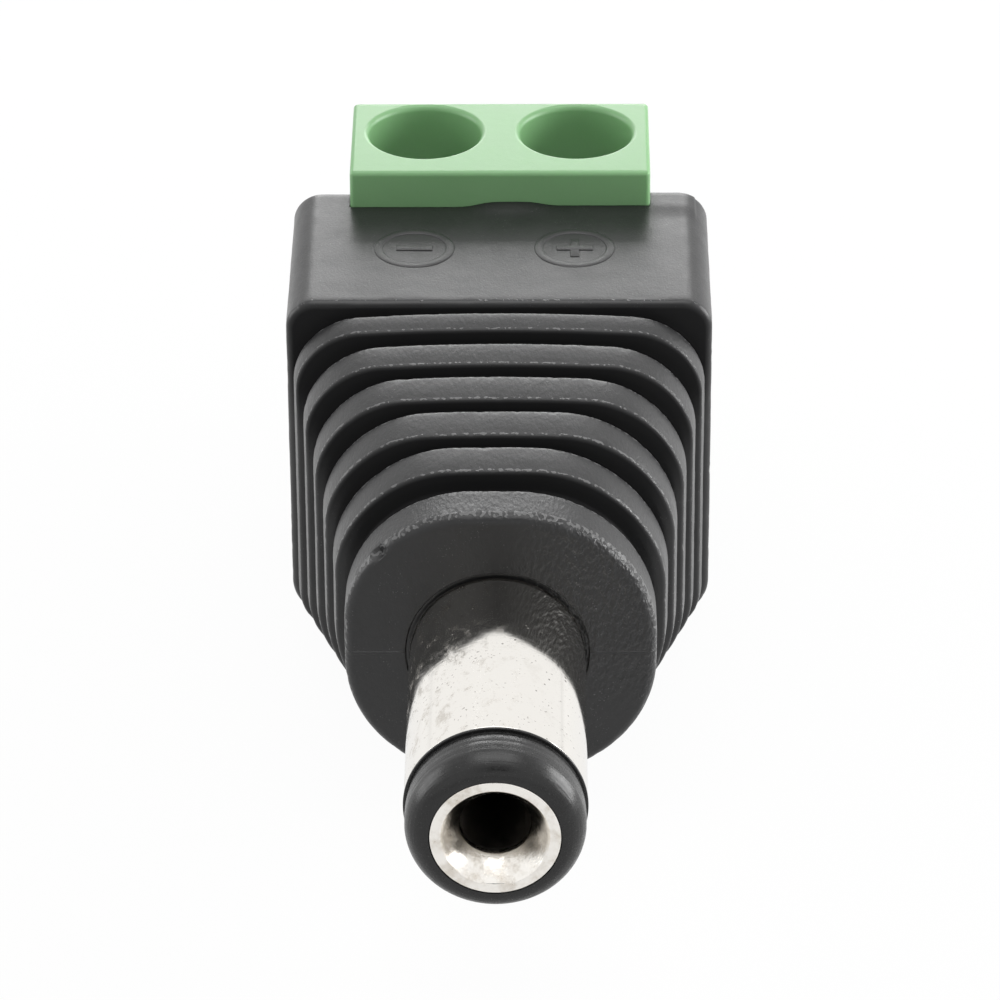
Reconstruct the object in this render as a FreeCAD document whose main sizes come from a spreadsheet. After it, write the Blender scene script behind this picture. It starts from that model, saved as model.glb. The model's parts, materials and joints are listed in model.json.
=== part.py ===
import FreeCAD, Part

import math
import os

import Sketcher
from FreeCAD import Placement, Rotation, Vector

# A barrel plug moulded onto a two-way screw-terminal block. Millimetres. The origin is on the barrel's axis at the
# front face of the nose: the barrel points to -Y, the terminals lie at +Y, +Z is up and +X is the positive side.

SIZES = {
    # Barrel sleeve: a turned and nickelled tube
    "barrel_diameter": 5.5,
    "sleeve_wall": 0.5,
    "sleeve_reach": 8.5,
    "neck_diameter": 5.1,
    "flange_start": 0.9,
    "flange_length": 1.0,
    "flange_diameter": 6.6,
    "spigot_length": 0.9,
    "spigot_diameter": 4.9,
    # Tip insulator: a collar against the sleeve's end, a waist, a rounded tip and a liner inside the sleeve
    "collar_length": 0.18,
    "collar_diameter": 5.56,
    "waist_length": 0.12,
    "waist_diameter": 5.18,
    "tip_length": 1.5,
    "tip_diameter": 5.4,
    "tip_rounding": 0.65,
    # Centre contact: a turned pin, drilled from the front and riveted behind
    "bore_diameter": 2.1,
    "bore_depth": 9.5,
    "countersink_diameter": 3.3,
    "countersink_depth": 0.45,
    "contact_wall": 0.45,
    "contact_flange_diameter": 3.92,
    "contact_flange_length": 0.6,
    "shank_diameter": 2.4,
    "rivet_diameter": 3.2,
    "rivet_length": 0.45,
    # Rear insulator: a washer with a spigot in the sleeve's bore
    "washer_diameter": 5.9,
    "washer_length": 0.8,
    "washer_spigot_length": 0.6,
    # Solder tags, jumper wires and soldered joints
    "lug_thickness": 0.4,
    "sleeve_lug_diameter": 6.8,
    "centre_lug_diameter": 5.1,
    "tail_height": 1.6,
    "tail_length": 4.6,
    "wire_diameter": 1.0,
    "wire_start_gap": 0.25,
    "wire_on_pin": 2.2,
    "solder_diameter": 1.6,
    "solder_length": 1.6,
    "solder_film": 0.06,
    "lug_solder_start": 0.6,
    "pin_solder_start": 0.5,
    # Housing: the nose, the grip ribs that grow and square up to the rear, and the box
    "nose_length": 1.67,
    "nose_width": 9.7,
    "nose_top": 4.9,
    "nose_bottom": 4.7,
    "nose_upper_corner": 4.0,
    "nose_lower_corner": 4.3,
    "nose_edge": 0.41,
    "nose_groove": 0.79,
    "rib_count": 5,
    "front_rib_length": 1.48,
    "front_rib_width": 10.6,
    "front_rib_top": 5.14,
    "front_rib_bottom": 5.0,
    "front_rib_upper_corner": 3.8,
    "front_rib_lower_corner": 4.3,
    "rear_rib_length": 1.05,
    "rear_rib_width": 13.36,
    "rear_rib_top": 5.86,
    "rear_rib_bottom": 5.7,
    "rear_rib_upper_corner": 2.2,
    "rear_rib_lower_corner": 2.4,
    "groove_depth": 0.65,
    "box_groove": 0.44,
    "box_start": 11.7,
    "box_length": 7.7,
    "box_width": 13.86,
    "box_top": 6.0,
    "box_bottom": 6.0,
    "box_upper_corner": 1.05,
    "box_lower_corner": 1.4,
    "box_edge": 0.2,
    # Terminal block: the two-way green moulding
    "block_inset": 1.0,
    "block_top": 7.27,
    "block_depth": 8.0,
    "block_top_depth": 5.1,
    "block_slope_drop": 2.97,
    "block_edge": 0.12,
    "pole_pitch": 5.08,
    "screw_back": 3.0,
    "side_wall": 0.56,
    "well_diameter": 3.76,
    "well_depth": 2.1,
    "ledge_thickness": 0.5,
    "floor_thickness": 0.6,
    "port_chamfer": 0.25,
    # Clamp screw
    "head_diameter": 3.2,
    "head_height": 1.2,
    "slot_width": 0.6,
    "slot_depth": 0.6,
    "thread_diameter": 2.5,
    "thread_pitch": 0.45,
    "clamp_turns": 3.5,
    # Rising cage
    "cage_wall": 0.5,
    "cage_length": 3.8,
    "cage_corner": 0.25,
    "cage_window_width": 2.6,
    "cage_bottom": 0.6,
    "nut_height": 1.1,
    "wire_room": 0.1,
    # Contact bar and its pin
    "bar_thickness": 0.6,
    "bar_width": 2.3,
    "bar_length": 5.4,
    "pin_width": 1.0,
    "pin_length": 3.0,
    # Clearances
    "mould_gap": 0.02,
    "fit_gap": 0.02,
    "turning_gap": 0.08,
    "thread_gap": 0.05,
    "end_gap": 0.05,
    "cage_gap": 0.1,
}

# Places worked out from the sizes. Those along the barrel are distances behind the front face of the nose.
PLACES = {
    "barrel_radius": "sizes.barrel_diameter / 2",
    "sleeve_bore": "places.barrel_radius - sizes.sleeve_wall",
    "flange_end": "sizes.flange_start + sizes.flange_length",
    "sleeve_end": "places.flange_end + sizes.spigot_length",
    "collar_front": "-(sizes.sleeve_reach + sizes.collar_length)",
    "waist_front": "places.collar_front - sizes.waist_length",
    "tip_front": "places.waist_front - sizes.tip_length",
    "flange_seat": "places.tip_front + sizes.contact_flange_length",
    "contact_radius": "sizes.bore_diameter / 2 + sizes.contact_wall",
    "shank_radius": "sizes.shank_diameter / 2",
    "liner_end": "places.sleeve_end - sizes.washer_spigot_length",
    "washer_end": "places.sleeve_end + sizes.washer_length",
    "centre_lug_end": "places.washer_end + sizes.lug_thickness",
    "rivet_end": "places.centre_lug_end + sizes.rivet_length",
    "pole": "sizes.pole_pitch / 2",
    "tail_inside": "places.pole + sizes.wire_diameter / 2 + sizes.solder_film",
    "tail_outside": "places.tail_inside + sizes.lug_thickness",
    "tail_end": "places.flange_end + sizes.tail_length",
    "rib_start": "sizes.nose_length + sizes.nose_groove",
    "last_rib_start": "sizes.box_start - sizes.box_groove - sizes.rear_rib_length",
    "box_end": "sizes.box_start + sizes.box_length",
    "block_front": "places.box_end - sizes.block_inset",
    "pin_tip": "places.block_front - sizes.pin_length",
    "wire_start": "places.rivet_end + sizes.wire_start_gap",
    "wire_end": "places.pin_tip + sizes.wire_on_pin",
    "screw_place": "places.block_front + sizes.screw_back",
    "head_seat": "sizes.block_top - sizes.well_depth - sizes.head_height",
    "ledge_top": "places.head_seat - sizes.end_gap",
    "chamber_top": "places.ledge_top - sizes.ledge_thickness",
    "clamp_travel": "sizes.clamp_turns * sizes.thread_pitch",
    "cage_top": "places.chamber_top - sizes.end_gap - places.clamp_travel",
    "nut_bottom": "places.cage_top - sizes.nut_height",
    "bar_top": "places.nut_bottom - sizes.end_gap",
    "bar_bottom": "places.bar_top - sizes.bar_thickness",
    "window_bottom": "places.bar_bottom - places.clamp_travel - sizes.wire_room",
    "cage_foot": "places.window_bottom - sizes.cage_bottom",
    "chamber_floor": "places.cage_foot - sizes.cage_gap",
    "block_bottom": "places.chamber_floor - sizes.floor_thickness",
    "cage_width": "sizes.cage_window_width + 2 * sizes.cage_wall",
    "chamber_width": "places.cage_width + 2 * sizes.cage_gap",
    "block_width": "sizes.pole_pitch + places.chamber_width + 2 * sizes.side_wall",
    "chamber_front": "sizes.screw_back - sizes.cage_length / 2 - sizes.cage_gap",
    "chamber_back": "sizes.screw_back + sizes.cage_length / 2 + sizes.cage_gap",
    "wire_height": "places.bar_top + sizes.solder_film + sizes.wire_diameter / 2",
    "joint_width": "max(sizes.solder_diameter; sizes.pin_width; sizes.wire_diameter)",
    "joint_height": "max(sizes.solder_diameter; sizes.tail_height)",
    "ear_inside": "places.pole - places.joint_width / 2",
    "channel_outside": "max(places.tail_outside; places.pole + places.joint_width / 2)",
    "channel_bottom": "min(places.bar_bottom; places.wire_height - places.joint_height / 2)",
    "channel_top": "places.wire_height + places.joint_height / 2",
}

LAND_SIZES = ("width", "top", "bottom", "upper_corner", "lower_corner")
SIDES = {"plus": 1, "minus": -1}
QUARTER = math.pi / 2
ALONG_BARREL = Rotation(Vector(1, 0, 0), -90)
NEAR = 1e-4

doc = FreeCAD.newDocument("barrel_plug")


def fill_sheet(name, cells):
    """A spreadsheet with one named value a row."""
    sheet = doc.addObject("Spreadsheet::Sheet", name)
    for row, (alias, value) in enumerate(cells.items(), start=1):
        sheet.set(f"A{row}", alias.replace("_", " "))
        sheet.set(f"B{row}", value)
        sheet.setAlias(f"B{row}", alias)
    return sheet


sizes = fill_sheet("sizes", {alias: str(value) for alias, value in SIZES.items()})
doc.recompute()
places = fill_sheet("places", {alias: f"={words}" for alias, words in PLACES.items()})
doc.recompute()


def worth(words):
    """The number that an expression on the two sheets comes to."""
    return float(places.evalExpression(words))


def bind(thing, values):
    """Ties properties of an object to expressions."""
    for name, words in values.items():
        thing.setExpression(name, words)


def place(thing, at):
    """Ties the x, y and z of an object's placement to expressions."""
    bind(thing, {f"Placement.Base.{axis}": words for axis, words in at.items()})


def new_body(label, **at):
    body = doc.addObject("PartDesign::Body", label)
    body.Label = label
    place(body, at)
    return body


def sketch_on(body, role, name, away="0"):
    """A sketch on one of the body's own planes, moved along that plane's normal."""
    sketch = body.newObject("Sketcher::SketchObject", name)
    support = next(plane for plane in body.Origin.OriginFeatures if plane.Role == role)
    sketch.AttachmentSupport = [(support, "")]
    sketch.MapMode = "FlatFace"
    sketch.setExpression("AttachmentOffset.Base.z", away)
    return sketch


def hold(sketch, kind, words, *where):
    """A driving dimension in a sketch, tied to an expression."""
    index = sketch.addConstraint(Sketcher.Constraint(kind, *where, worth(words)))
    sketch.setExpression(f"Constraints[{index}]", words)


def hold_point(sketch, index, point, across, up):
    """Holds a point by its two distances from the sketch's origin, or on an axis where a distance is 0."""
    for kind, axis, words in (("DistanceX", -2, across), ("DistanceY", -1, up)):
        if words == "0":
            sketch.addConstraint(Sketcher.Constraint("PointOnObject", index, point, axis))
        else:
            hold(sketch, kind, words, -1, 1, index, point)


def outline(sketch, corners):
    """A closed run of straight lines through corners."""
    points = [Vector(worth(across), worth(up)) for across, up in corners]
    following = points[1:] + points[:1]
    lines = [sketch.addGeometry(Part.LineSegment(*ends)) for ends in zip(points, following)]
    for line, after in zip(lines, lines[1:] + lines[:1]):
        sketch.addConstraint(Sketcher.Constraint("Coincident", line, 2, after, 1))
    for line, (across, up) in zip(lines, corners):
        hold_point(sketch, line, 1, across, up)


def rectangle(sketch, left, right, bottom, top):
    outline(sketch, [(left, bottom), (right, bottom), (right, top), (left, top)])


def circle(sketch, across, up, radius):
    index = sketch.addGeometry(Part.Circle(Vector(worth(across), worth(up)), Vector(0, 0, 1), worth(radius)))
    hold(sketch, "Radius", radius, index)
    hold_point(sketch, index, 3, across, up)


def rounded_rectangle(sketch, width, top, bottom, upper_corner, lower_corner):
    """A rectangle evenly across the origin, with two pairs of round corners, drawn clockwise from its top run."""
    across, up, down = worth(width) / 2, worth(top), -worth(bottom)
    upper, lower = worth(upper_corner), worth(lower_corner)
    runs = [
        ((upper - across, up), (across - upper, up)),
        ((across, up - upper), (across, down + lower)),
        ((across - lower, down), (lower - across, down)),
        ((-across, down + lower), (-across, up - upper)),
    ]
    centres = [
        (Vector(across - upper, up - upper), upper),
        (Vector(across - lower, down + lower), lower),
        (Vector(lower - across, down + lower), lower),
        (Vector(upper - across, up - upper), upper),
    ]
    lines = [sketch.addGeometry(Part.LineSegment(Vector(*start), Vector(*end))) for start, end in runs]
    arcs = []
    for turn, (centre, radius) in enumerate(centres):
        ring = Part.Circle(centre, Vector(0, 0, 1), radius)
        arcs.append(sketch.addGeometry(Part.ArcOfCircle(ring, -turn * QUARTER, (1 - turn) * QUARTER)))
    for index, arc in enumerate(arcs):
        sketch.addConstraint(Sketcher.Constraint("Tangent", lines[index], 2, arc, 2))
        sketch.addConstraint(Sketcher.Constraint("Tangent", arc, 1, lines[(index + 1) % 4], 1))
    for line, kind in zip(lines, ("Horizontal", "Vertical", "Horizontal", "Vertical")):
        sketch.addConstraint(Sketcher.Constraint(kind, line))
    for one, other in ((0, 3), (1, 2)):
        sketch.addConstraint(Sketcher.Constraint("Equal", arcs[one], arcs[other]))
    hold(sketch, "Radius", upper_corner, arcs[0])
    hold(sketch, "Radius", lower_corner, arcs[1])
    hold(sketch, "DistanceX", f"({width}) / 2", -1, 1, lines[1], 1)
    hold(sketch, "DistanceX", f"({width}) / 2", lines[3], 1, -1, 1)
    hold(sketch, "DistanceY", top, -1, 1, lines[0], 1)
    hold(sketch, "DistanceY", bottom, lines[2], 1, -1, 1)


def pad(body, name, sketch, length, **settings):
    made = body.newObject("PartDesign::Pad", name)
    made.Profile = sketch
    for setting, value in settings.items():
        setattr(made, setting, value)
    made.setExpression("Length", length)
    return made


def pocket(body, name, sketch, depth):
    """A pocket that cuts against the sketch's normal. It has to take something away."""
    doc.recompute()
    before = body.Shape.Volume
    made = body.newObject("PartDesign::Pocket", name)
    made.Profile = sketch
    made.setExpression("Length", depth)
    doc.recompute()
    if body.Shape.Volume > before - NEAR:
        raise RuntimeError(f"{name} cuts nothing")
    return made


def ease(body, name, edges, size, kind="Fillet"):
    """Rounds or chamfers edges of the body as it stands."""
    base = body.Tip
    made = body.newObject(f"PartDesign::{kind}", name)
    made.Base = (base, edges)
    made.setExpression({"Fillet": "Radius", "Chamfer": "Size"}[kind], size)
    doc.recompute()


def names_of(shape, wanted):
    """The names that a shape gives to some of its edges."""
    return [f"Edge{n}" for n, edge in enumerate(shape.Edges, start=1) if any(edge.isSame(one) for one in wanted)]


def flat_faces_at(shape, station):
    """The faces that lie square to the barrel at a distance along it."""
    boxes = [(face, face.BoundBox) for face in shape.Faces]
    return [face for face, box in boxes if abs(box.YMin - station) < NEAR and abs(box.YMax - station) < NEAR]


def rims(shape, stations):
    """Names of the edges round the outsides of the faces square to the barrel at some distances along it."""
    faces = [face for station in stations for face in flat_faces_at(shape, station)]
    return names_of(shape, [edge for face in faces for edge in face.OuterWire.Edges])


def turned(label, corners, **at):
    """A piece turned about the barrel's axis from the outline of its half section."""
    body = new_body(label, **at)
    section = sketch_on(body, "YZ_Plane", f"{label}_section")
    outline(section, corners)
    turning = body.newObject("PartDesign::Revolution", f"{label}_turning")
    turning.Profile = section
    turning.ReferenceAxis = (section, ["H_Axis"])
    turning.Angle = 360
    doc.recompute()
    return body


def make_barrel_sleeve():
    """The tube, with a neck and a flange that the moulding grips and a spigot for the solder tag."""
    neck = "sizes.neck_diameter / 2"
    spigot = "sizes.spigot_diameter / 2"
    flange = "sizes.flange_diameter / 2"
    return turned(
        "barrel_sleeve",
        [
            ("-sizes.sleeve_reach", "places.sleeve_bore"),
            ("-sizes.sleeve_reach", "places.barrel_radius"),
            ("-sizes.mould_gap", "places.barrel_radius"),
            ("-sizes.mould_gap", neck),
            ("sizes.flange_start", neck),
            ("sizes.flange_start", flange),
            ("places.flange_end", flange),
            ("places.flange_end", spigot),
            ("places.sleeve_end", spigot),
            ("places.sleeve_end", "places.sleeve_bore"),
        ],
    )


def make_tip_insulator():
    hole = "places.contact_radius + sizes.fit_gap"
    liner = "places.sleeve_bore - sizes.fit_gap"
    recess = "sizes.contact_flange_diameter / 2 + sizes.fit_gap"
    insulator = turned(
        "tip_insulator",
        [
            ("places.liner_end", hole),
            ("places.liner_end", liner),
            ("-sizes.sleeve_reach", liner),
            ("-sizes.sleeve_reach", "sizes.collar_diameter / 2"),
            ("places.collar_front", "sizes.collar_diameter / 2"),
            ("places.collar_front", "sizes.waist_diameter / 2"),
            ("places.waist_front", "sizes.waist_diameter / 2"),
            ("places.waist_front", "sizes.tip_diameter / 2"),
            ("places.tip_front", "sizes.tip_diameter / 2"),
            ("places.tip_front", recess),
            ("places.flange_seat", recess),
            ("places.flange_seat", hole),
        ],
    )
    front = rims(insulator.Shape, [worth("places.tip_front")])
    ease(insulator, "tip_front_edge", front, "sizes.tip_rounding")
    return insulator


def make_centre_contact():
    bore = "sizes.bore_diameter / 2"
    bore_end = "places.tip_front + sizes.bore_depth"
    flange = "sizes.contact_flange_diameter / 2"
    return turned(
        "centre_contact",
        [
            ("places.tip_front", "sizes.countersink_diameter / 2"),
            ("places.tip_front", flange),
            ("places.flange_seat", flange),
            ("places.flange_seat", "places.contact_radius"),
            ("places.liner_end", "places.contact_radius"),
            ("places.liner_end", "places.shank_radius"),
            ("places.centre_lug_end", "places.shank_radius"),
            ("places.centre_lug_end", "sizes.rivet_diameter / 2"),
            ("places.rivet_end", "sizes.rivet_diameter / 2"),
            ("places.rivet_end", "0"),
            (bore_end, "0"),
            (bore_end, bore),
            ("places.tip_front + sizes.countersink_depth", bore),
        ],
    )


def make_rear_insulator():
    hole = "places.shank_radius + sizes.fit_gap"
    spigot = "places.sleeve_bore - sizes.fit_gap"
    return turned(
        "rear_insulator",
        [
            ("-sizes.washer_spigot_length", hole),
            ("-sizes.washer_spigot_length", spigot),
            ("0", spigot),
            ("0", "sizes.washer_diameter / 2"),
            ("sizes.washer_length", "sizes.washer_diameter / 2"),
            ("sizes.washer_length", hole),
        ],
        y="places.sleeve_end",
    )


def primitive(kind, name, values, at, turn=None):
    """A box or a cylinder with its sizes and place tied to expressions."""
    made = doc.addObject(f"Part::{kind}", name)
    if turn:
        made.Placement = Placement(Vector(), turn)
    bind(made, values)
    place(made, at)
    return made


def rod(name, radius, length, **at):
    """A cylinder that runs back along the barrel."""
    return primitive("Cylinder", name, {"Radius": radius, "Height": length}, at, ALONG_BARREL)


def fused(name, pieces):
    made = doc.addObject("Part::MultiFuse", name)
    made.Shapes = pieces
    return made


def cut(label, base, tool):
    made = doc.addObject("Part::Cut", label)
    made.Label = label
    made.Base = base
    made.Tool = tool
    return made


def make_lug(label, side, seat, diameter, hole):
    """A stamped tag: a disc on the barrel's axis with an ear at one side, whose tail is bent to run back."""
    disc = rod(f"{label}_disc", f"{diameter} / 2", "sizes.lug_thickness", y=seat)
    low = "places.wire_height - sizes.tail_height / 2"
    near = {"plus": "places.ear_inside", "minus": "-places.tail_outside"}[side]
    ear_sizes = {
        "Length": "places.tail_outside - places.ear_inside",
        "Width": "sizes.lug_thickness",
        "Height": "sizes.tail_height",
    }
    ear = primitive("Box", f"{label}_ear", ear_sizes, {"x": near, "y": seat, "z": low})
    near = {"plus": "places.tail_inside", "minus": "-places.tail_outside"}[side]
    tail_sizes = {
        "Length": "sizes.lug_thickness",
        "Width": f"places.tail_end - {seat}",
        "Height": "sizes.tail_height",
    }
    tail = primitive("Box", f"{label}_tail", tail_sizes, {"x": near, "y": seat, "z": low})
    punch = rod(f"{label}_hole", f"{hole} + sizes.fit_gap", "sizes.lug_thickness", y=seat)
    return cut(label, fused(f"{label}_blank", [disc, ear, tail]), punch)


def make_jumper(side):
    label = f"jumper_{side}"
    along = {"x": f"{SIDES[side]} * places.pole", "y": "places.wire_start", "z": "places.wire_height"}
    wire = rod(label, "sizes.wire_diameter / 2", "places.wire_end - places.wire_start", **along)
    wire.Label = label
    return wire


def make_solder(label, side, start, wire, joined):
    """A bead of solder round a jumper wire and the piece that it is joined to."""
    along = {"x": f"{SIDES[side]} * places.pole", "y": start, "z": "places.wire_height"}
    bead = rod(f"{label}_bead", "sizes.solder_diameter / 2", "sizes.solder_length", **along)
    return cut(label, cut(f"{label}_on_wire", bead, wire), joined)


def land_section(name, housing, land, station="0"):
    """The outline of the nose or the box."""
    sketch = sketch_on(housing, "XZ_Plane", name, f"-({station})")
    rounded_rectangle(sketch, *[f"sizes.{land}_{size}" for size in LAND_SIZES])
    return sketch


def rib_section(name, housing, share, station):
    """A rib's outline, between the front rib's and the rear rib's as share goes from 0 to 1."""
    sketch = sketch_on(housing, "XZ_Plane", name, f"-({station})")
    front, rear = "sizes.front_rib_", "sizes.rear_rib_"
    words = [f"{front}{size} + ({rear}{size} - {front}{size}) * {share}" for size in LAND_SIZES]
    rounded_rectangle(sketch, *words)
    return sketch


def core_section(name, housing, land, station):
    """The outline at the foot of the grooves, set in from that of a land. The width loses the depth twice."""
    sketch = sketch_on(housing, "XZ_Plane", name, f"-({station})")
    times = {size: 2 if size == "width" else 1 for size in LAND_SIZES}
    rounded_rectangle(sketch, *[f"sizes.{land}_{size} - {times[size]} * sizes.groove_depth" for size in LAND_SIZES])
    return sketch


def make_lands(housing):
    """The nose, the ribs and the box, on a core that tapers to the front. Ribs get shorter towards the box."""
    front = core_section("core_front", housing, "nose", "sizes.nose_length / 2")
    rear = core_section("core_rear", housing, "rear_rib", "sizes.box_start + sizes.box_groove")
    core = housing.newObject("PartDesign::AdditiveLoft", "core")
    core.Profile = front
    core.Sections = [rear]
    core.Ruled = True
    nose = land_section("nose_section", housing, "nose")
    pad(housing, "nose", nose, "sizes.nose_length", Reversed=True)
    for number in range(SIZES["rib_count"]):
        share = f"({number} / (sizes.rib_count - 1))"
        start = f"places.rib_start + (places.last_rib_start - places.rib_start) * {share}"
        length = f"sizes.front_rib_length + (sizes.rear_rib_length - sizes.front_rib_length) * {share} ^ 3"
        section = rib_section(f"rib_{number + 1}_section", housing, share, start)
        pad(housing, f"rib_{number + 1}", section, length, Reversed=True)
    box = land_section("box_section", housing, "box", "sizes.box_start")
    pad(housing, "box", box, "sizes.box_length", Reversed=True)
    doc.recompute()


def hollow_for_barrel(housing):
    """The round cavity that the moulding leaves round the barrel's rear end."""
    gap = "sizes.mould_gap"
    steps = [
        ("sizes.flange_start - sizes.mould_gap", "sizes.neck_diameter / 2"),
        ("places.flange_end", "sizes.flange_diameter / 2"),
        ("places.flange_end + sizes.lug_thickness + sizes.mould_gap", "sizes.sleeve_lug_diameter / 2"),
        (
            "places.centre_lug_end + sizes.mould_gap",
            "max(sizes.washer_diameter; sizes.centre_lug_diameter; sizes.spigot_diameter) / 2",
        ),
        ("places.rivet_end + sizes.mould_gap", "sizes.rivet_diameter / 2"),
    ]
    corners = [("-sizes.flange_start", "0")]
    station = "-sizes.flange_start"
    for end, radius in steps:
        corners += [(station, f"{radius} + {gap}"), (end, f"{radius} + {gap}")]
        station = end
    corners.append((station, "0"))
    section = sketch_on(housing, "YZ_Plane", "barrel_cavity_section")
    outline(section, corners)
    before = housing.Shape.Volume
    cavity = housing.newObject("PartDesign::Groove", "barrel_cavity")
    cavity.Profile = section
    cavity.ReferenceAxis = (section, ["H_Axis"])
    cavity.Angle = 360
    doc.recompute()
    if housing.Shape.Volume > before - NEAR:
        raise RuntimeError("the barrel's cavity cuts nothing")


def hollow_for_conductors(housing):
    """A straight channel each side, from the sleeve's flange to the block, round the tags, wires and pins."""
    section = sketch_on(housing, "XZ_Plane", "channel_section", "-places.flange_end")
    bottom = "places.channel_bottom - sizes.mould_gap"
    top = "places.channel_top + sizes.mould_gap"
    inside = "places.ear_inside - sizes.mould_gap"
    outside = "places.channel_outside + sizes.mould_gap"
    rectangle(section, inside, outside, bottom, top)
    rectangle(section, f"-({outside})", f"-({inside})", bottom, top)
    pocket(housing, "channels", section, "places.block_front - places.flange_end")


def hollow_for_block(housing):
    """The notch in the rear that the terminal block is moulded into, open above."""
    section = sketch_on(housing, "XZ_Plane", "block_notch_section", "-(places.block_front - sizes.mould_gap)")
    half = "(places.block_width / 2 + sizes.mould_gap)"
    rectangle(section, f"-{half}", half, "places.block_bottom - sizes.mould_gap", "2 * sizes.box_top")
    pocket(housing, "block_notch", section, "sizes.block_depth")


def make_housing():
    housing = new_body("housing")
    make_lands(housing)
    ease(housing, "nose_front_edge", rims(housing.Shape, [0]), "sizes.nose_edge", "Chamfer")
    box_ends = [worth("sizes.box_start"), worth("places.box_end")]
    ease(housing, "box_edges", rims(housing.Shape, box_ends), "sizes.box_edge", "Chamfer")
    hollow_for_barrel(housing)
    hollow_for_conductors(housing)
    hollow_for_block(housing)
    return housing


def both_poles(sketch, draw):
    """Draws the same thing about the centre of each pole."""
    for sign in SIDES.values():
        draw(sketch, f"{sign} * places.pole")


def make_terminal_block():
    block = new_body("terminal_block", y="places.block_front")
    side_view = sketch_on(block, "YZ_Plane", "block_side_view")
    outline(
        side_view,
        [
            ("0", "places.block_bottom"),
            ("sizes.block_depth", "places.block_bottom"),
            ("sizes.block_depth", "sizes.block_top - sizes.block_slope_drop"),
            ("sizes.block_top_depth", "sizes.block_top"),
            ("0", "sizes.block_top"),
        ],
    )
    pad(block, "block_form", side_view, "places.block_width", SideType="Symmetric")
    doc.recompute()
    edges = [f"Edge{n}" for n in range(1, len(block.Shape.Edges) + 1)]
    ease(block, "block_edges", edges, "sizes.block_edge", "Chamfer")

    def well(name, radius, depth):
        sketch = sketch_on(block, "XY_Plane", f"{name}_section", "sizes.block_top")
        both_poles(sketch, lambda where, pole: circle(where, pole, "sizes.screw_back", radius))
        pocket(block, name, sketch, depth)

    def tunnel(name, width, bottom, top, start, length):
        half = f"({width}) / 2"
        sketch = sketch_on(block, "XZ_Plane", f"{name}_section", f"-({start})")
        both_poles(sketch, lambda where, pole: rectangle(where, f"{pole} - {half}", f"{pole} + {half}", bottom, top))
        pocket(block, name, sketch, length)

    well("screw_wells", "sizes.well_diameter / 2", "sizes.well_depth")
    well("head_seats", "sizes.head_diameter / 2 + sizes.turning_gap", "sizes.block_top - places.ledge_top")
    well("thread_holes", "sizes.thread_diameter / 2 + sizes.turning_gap", "sizes.block_top - places.nut_bottom")
    front, floor = "places.chamber_front", "places.chamber_floor"
    wide = "places.chamber_width"
    tunnel("cage_chambers", wide, floor, "places.chamber_top", front, f"places.chamber_back - {front}")
    tunnel("wire_ports", wide, floor, "places.cage_top + sizes.cage_gap", front, f"sizes.block_depth - {front}")
    slot = "sizes.bar_width + 2 * sizes.fit_gap"
    bottom, top = "places.bar_bottom - sizes.fit_gap", "places.bar_top + sizes.fit_gap"
    tunnel("bar_slots", slot, bottom, top, "0", f"{front} + sizes.cage_gap")
    rear = flat_faces_at(block.Shape, worth("places.block_front + sizes.block_depth"))
    mouths = [edge for face in rear for wire in face.Wires if not wire.isSame(face.OuterWire) for edge in wire.Edges]
    ease(block, "port_mouths", names_of(block.Shape, mouths), "sizes.port_chamfer", "Chamfer")
    return block


def make_contact_bar(side):
    """A stamped bar through the cage, drawn down to a pin that stands out of the block's front."""
    label = f"contact_bar_{side}"
    bar = new_body(label, x=f"{SIDES[side]} * places.pole", y="places.block_front", z="places.bar_bottom")
    plan = sketch_on(bar, "XY_Plane", f"{label}_plan")
    wide, narrow = "sizes.bar_width / 2", "sizes.pin_width / 2"
    right = [(narrow, "-sizes.pin_length"), (narrow, "0"), (wide, "0"), (wide, "sizes.bar_length")]
    left = [(f"-{across}", along) for across, along in reversed(right)]
    outline(plan, right + left)
    pad(bar, f"{label}_blank", plan, "sizes.bar_thickness")
    return bar


def make_clamp_cage(side):
    """A folded frame with a threaded top, that rises as its screw turns."""
    label = f"clamp_cage_{side}"
    cage = new_body(label, x=f"{SIDES[side]} * places.pole", y="places.screw_place", z="places.cage_foot")
    height = "(places.cage_top - places.cage_foot)"
    frame = sketch_on(cage, "XZ_Plane", f"{label}_frame")
    rectangle(frame, "-places.cage_width / 2", "places.cage_width / 2", "0", height)
    window = "sizes.cage_window_width / 2"
    rectangle(frame, f"-{window}", window, "sizes.cage_bottom", "places.nut_bottom - places.cage_foot")
    pad(cage, f"{label}_fold", frame, "sizes.cage_length", SideType="Symmetric")
    doc.recompute()
    half = worth("places.cage_width / 2")
    middle = cage.Placement.Base.x
    corners = []
    for edge in cage.Shape.Edges:
        box = edge.BoundBox
        outside = abs(abs(box.Center.x - middle) - half) < NEAR
        if outside and box.YLength > worth("sizes.cage_length") / 2:
            corners.append(edge)
    ease(cage, f"{label}_bends", names_of(cage.Shape, corners), "sizes.cage_corner")
    top = sketch_on(cage, "XY_Plane", f"{label}_top", height)
    circle(top, "0", "0", "sizes.thread_diameter / 2 + sizes.thread_gap")
    pocket(cage, f"{label}_thread", top, "sizes.nut_height + sizes.end_gap")
    return cage


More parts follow.
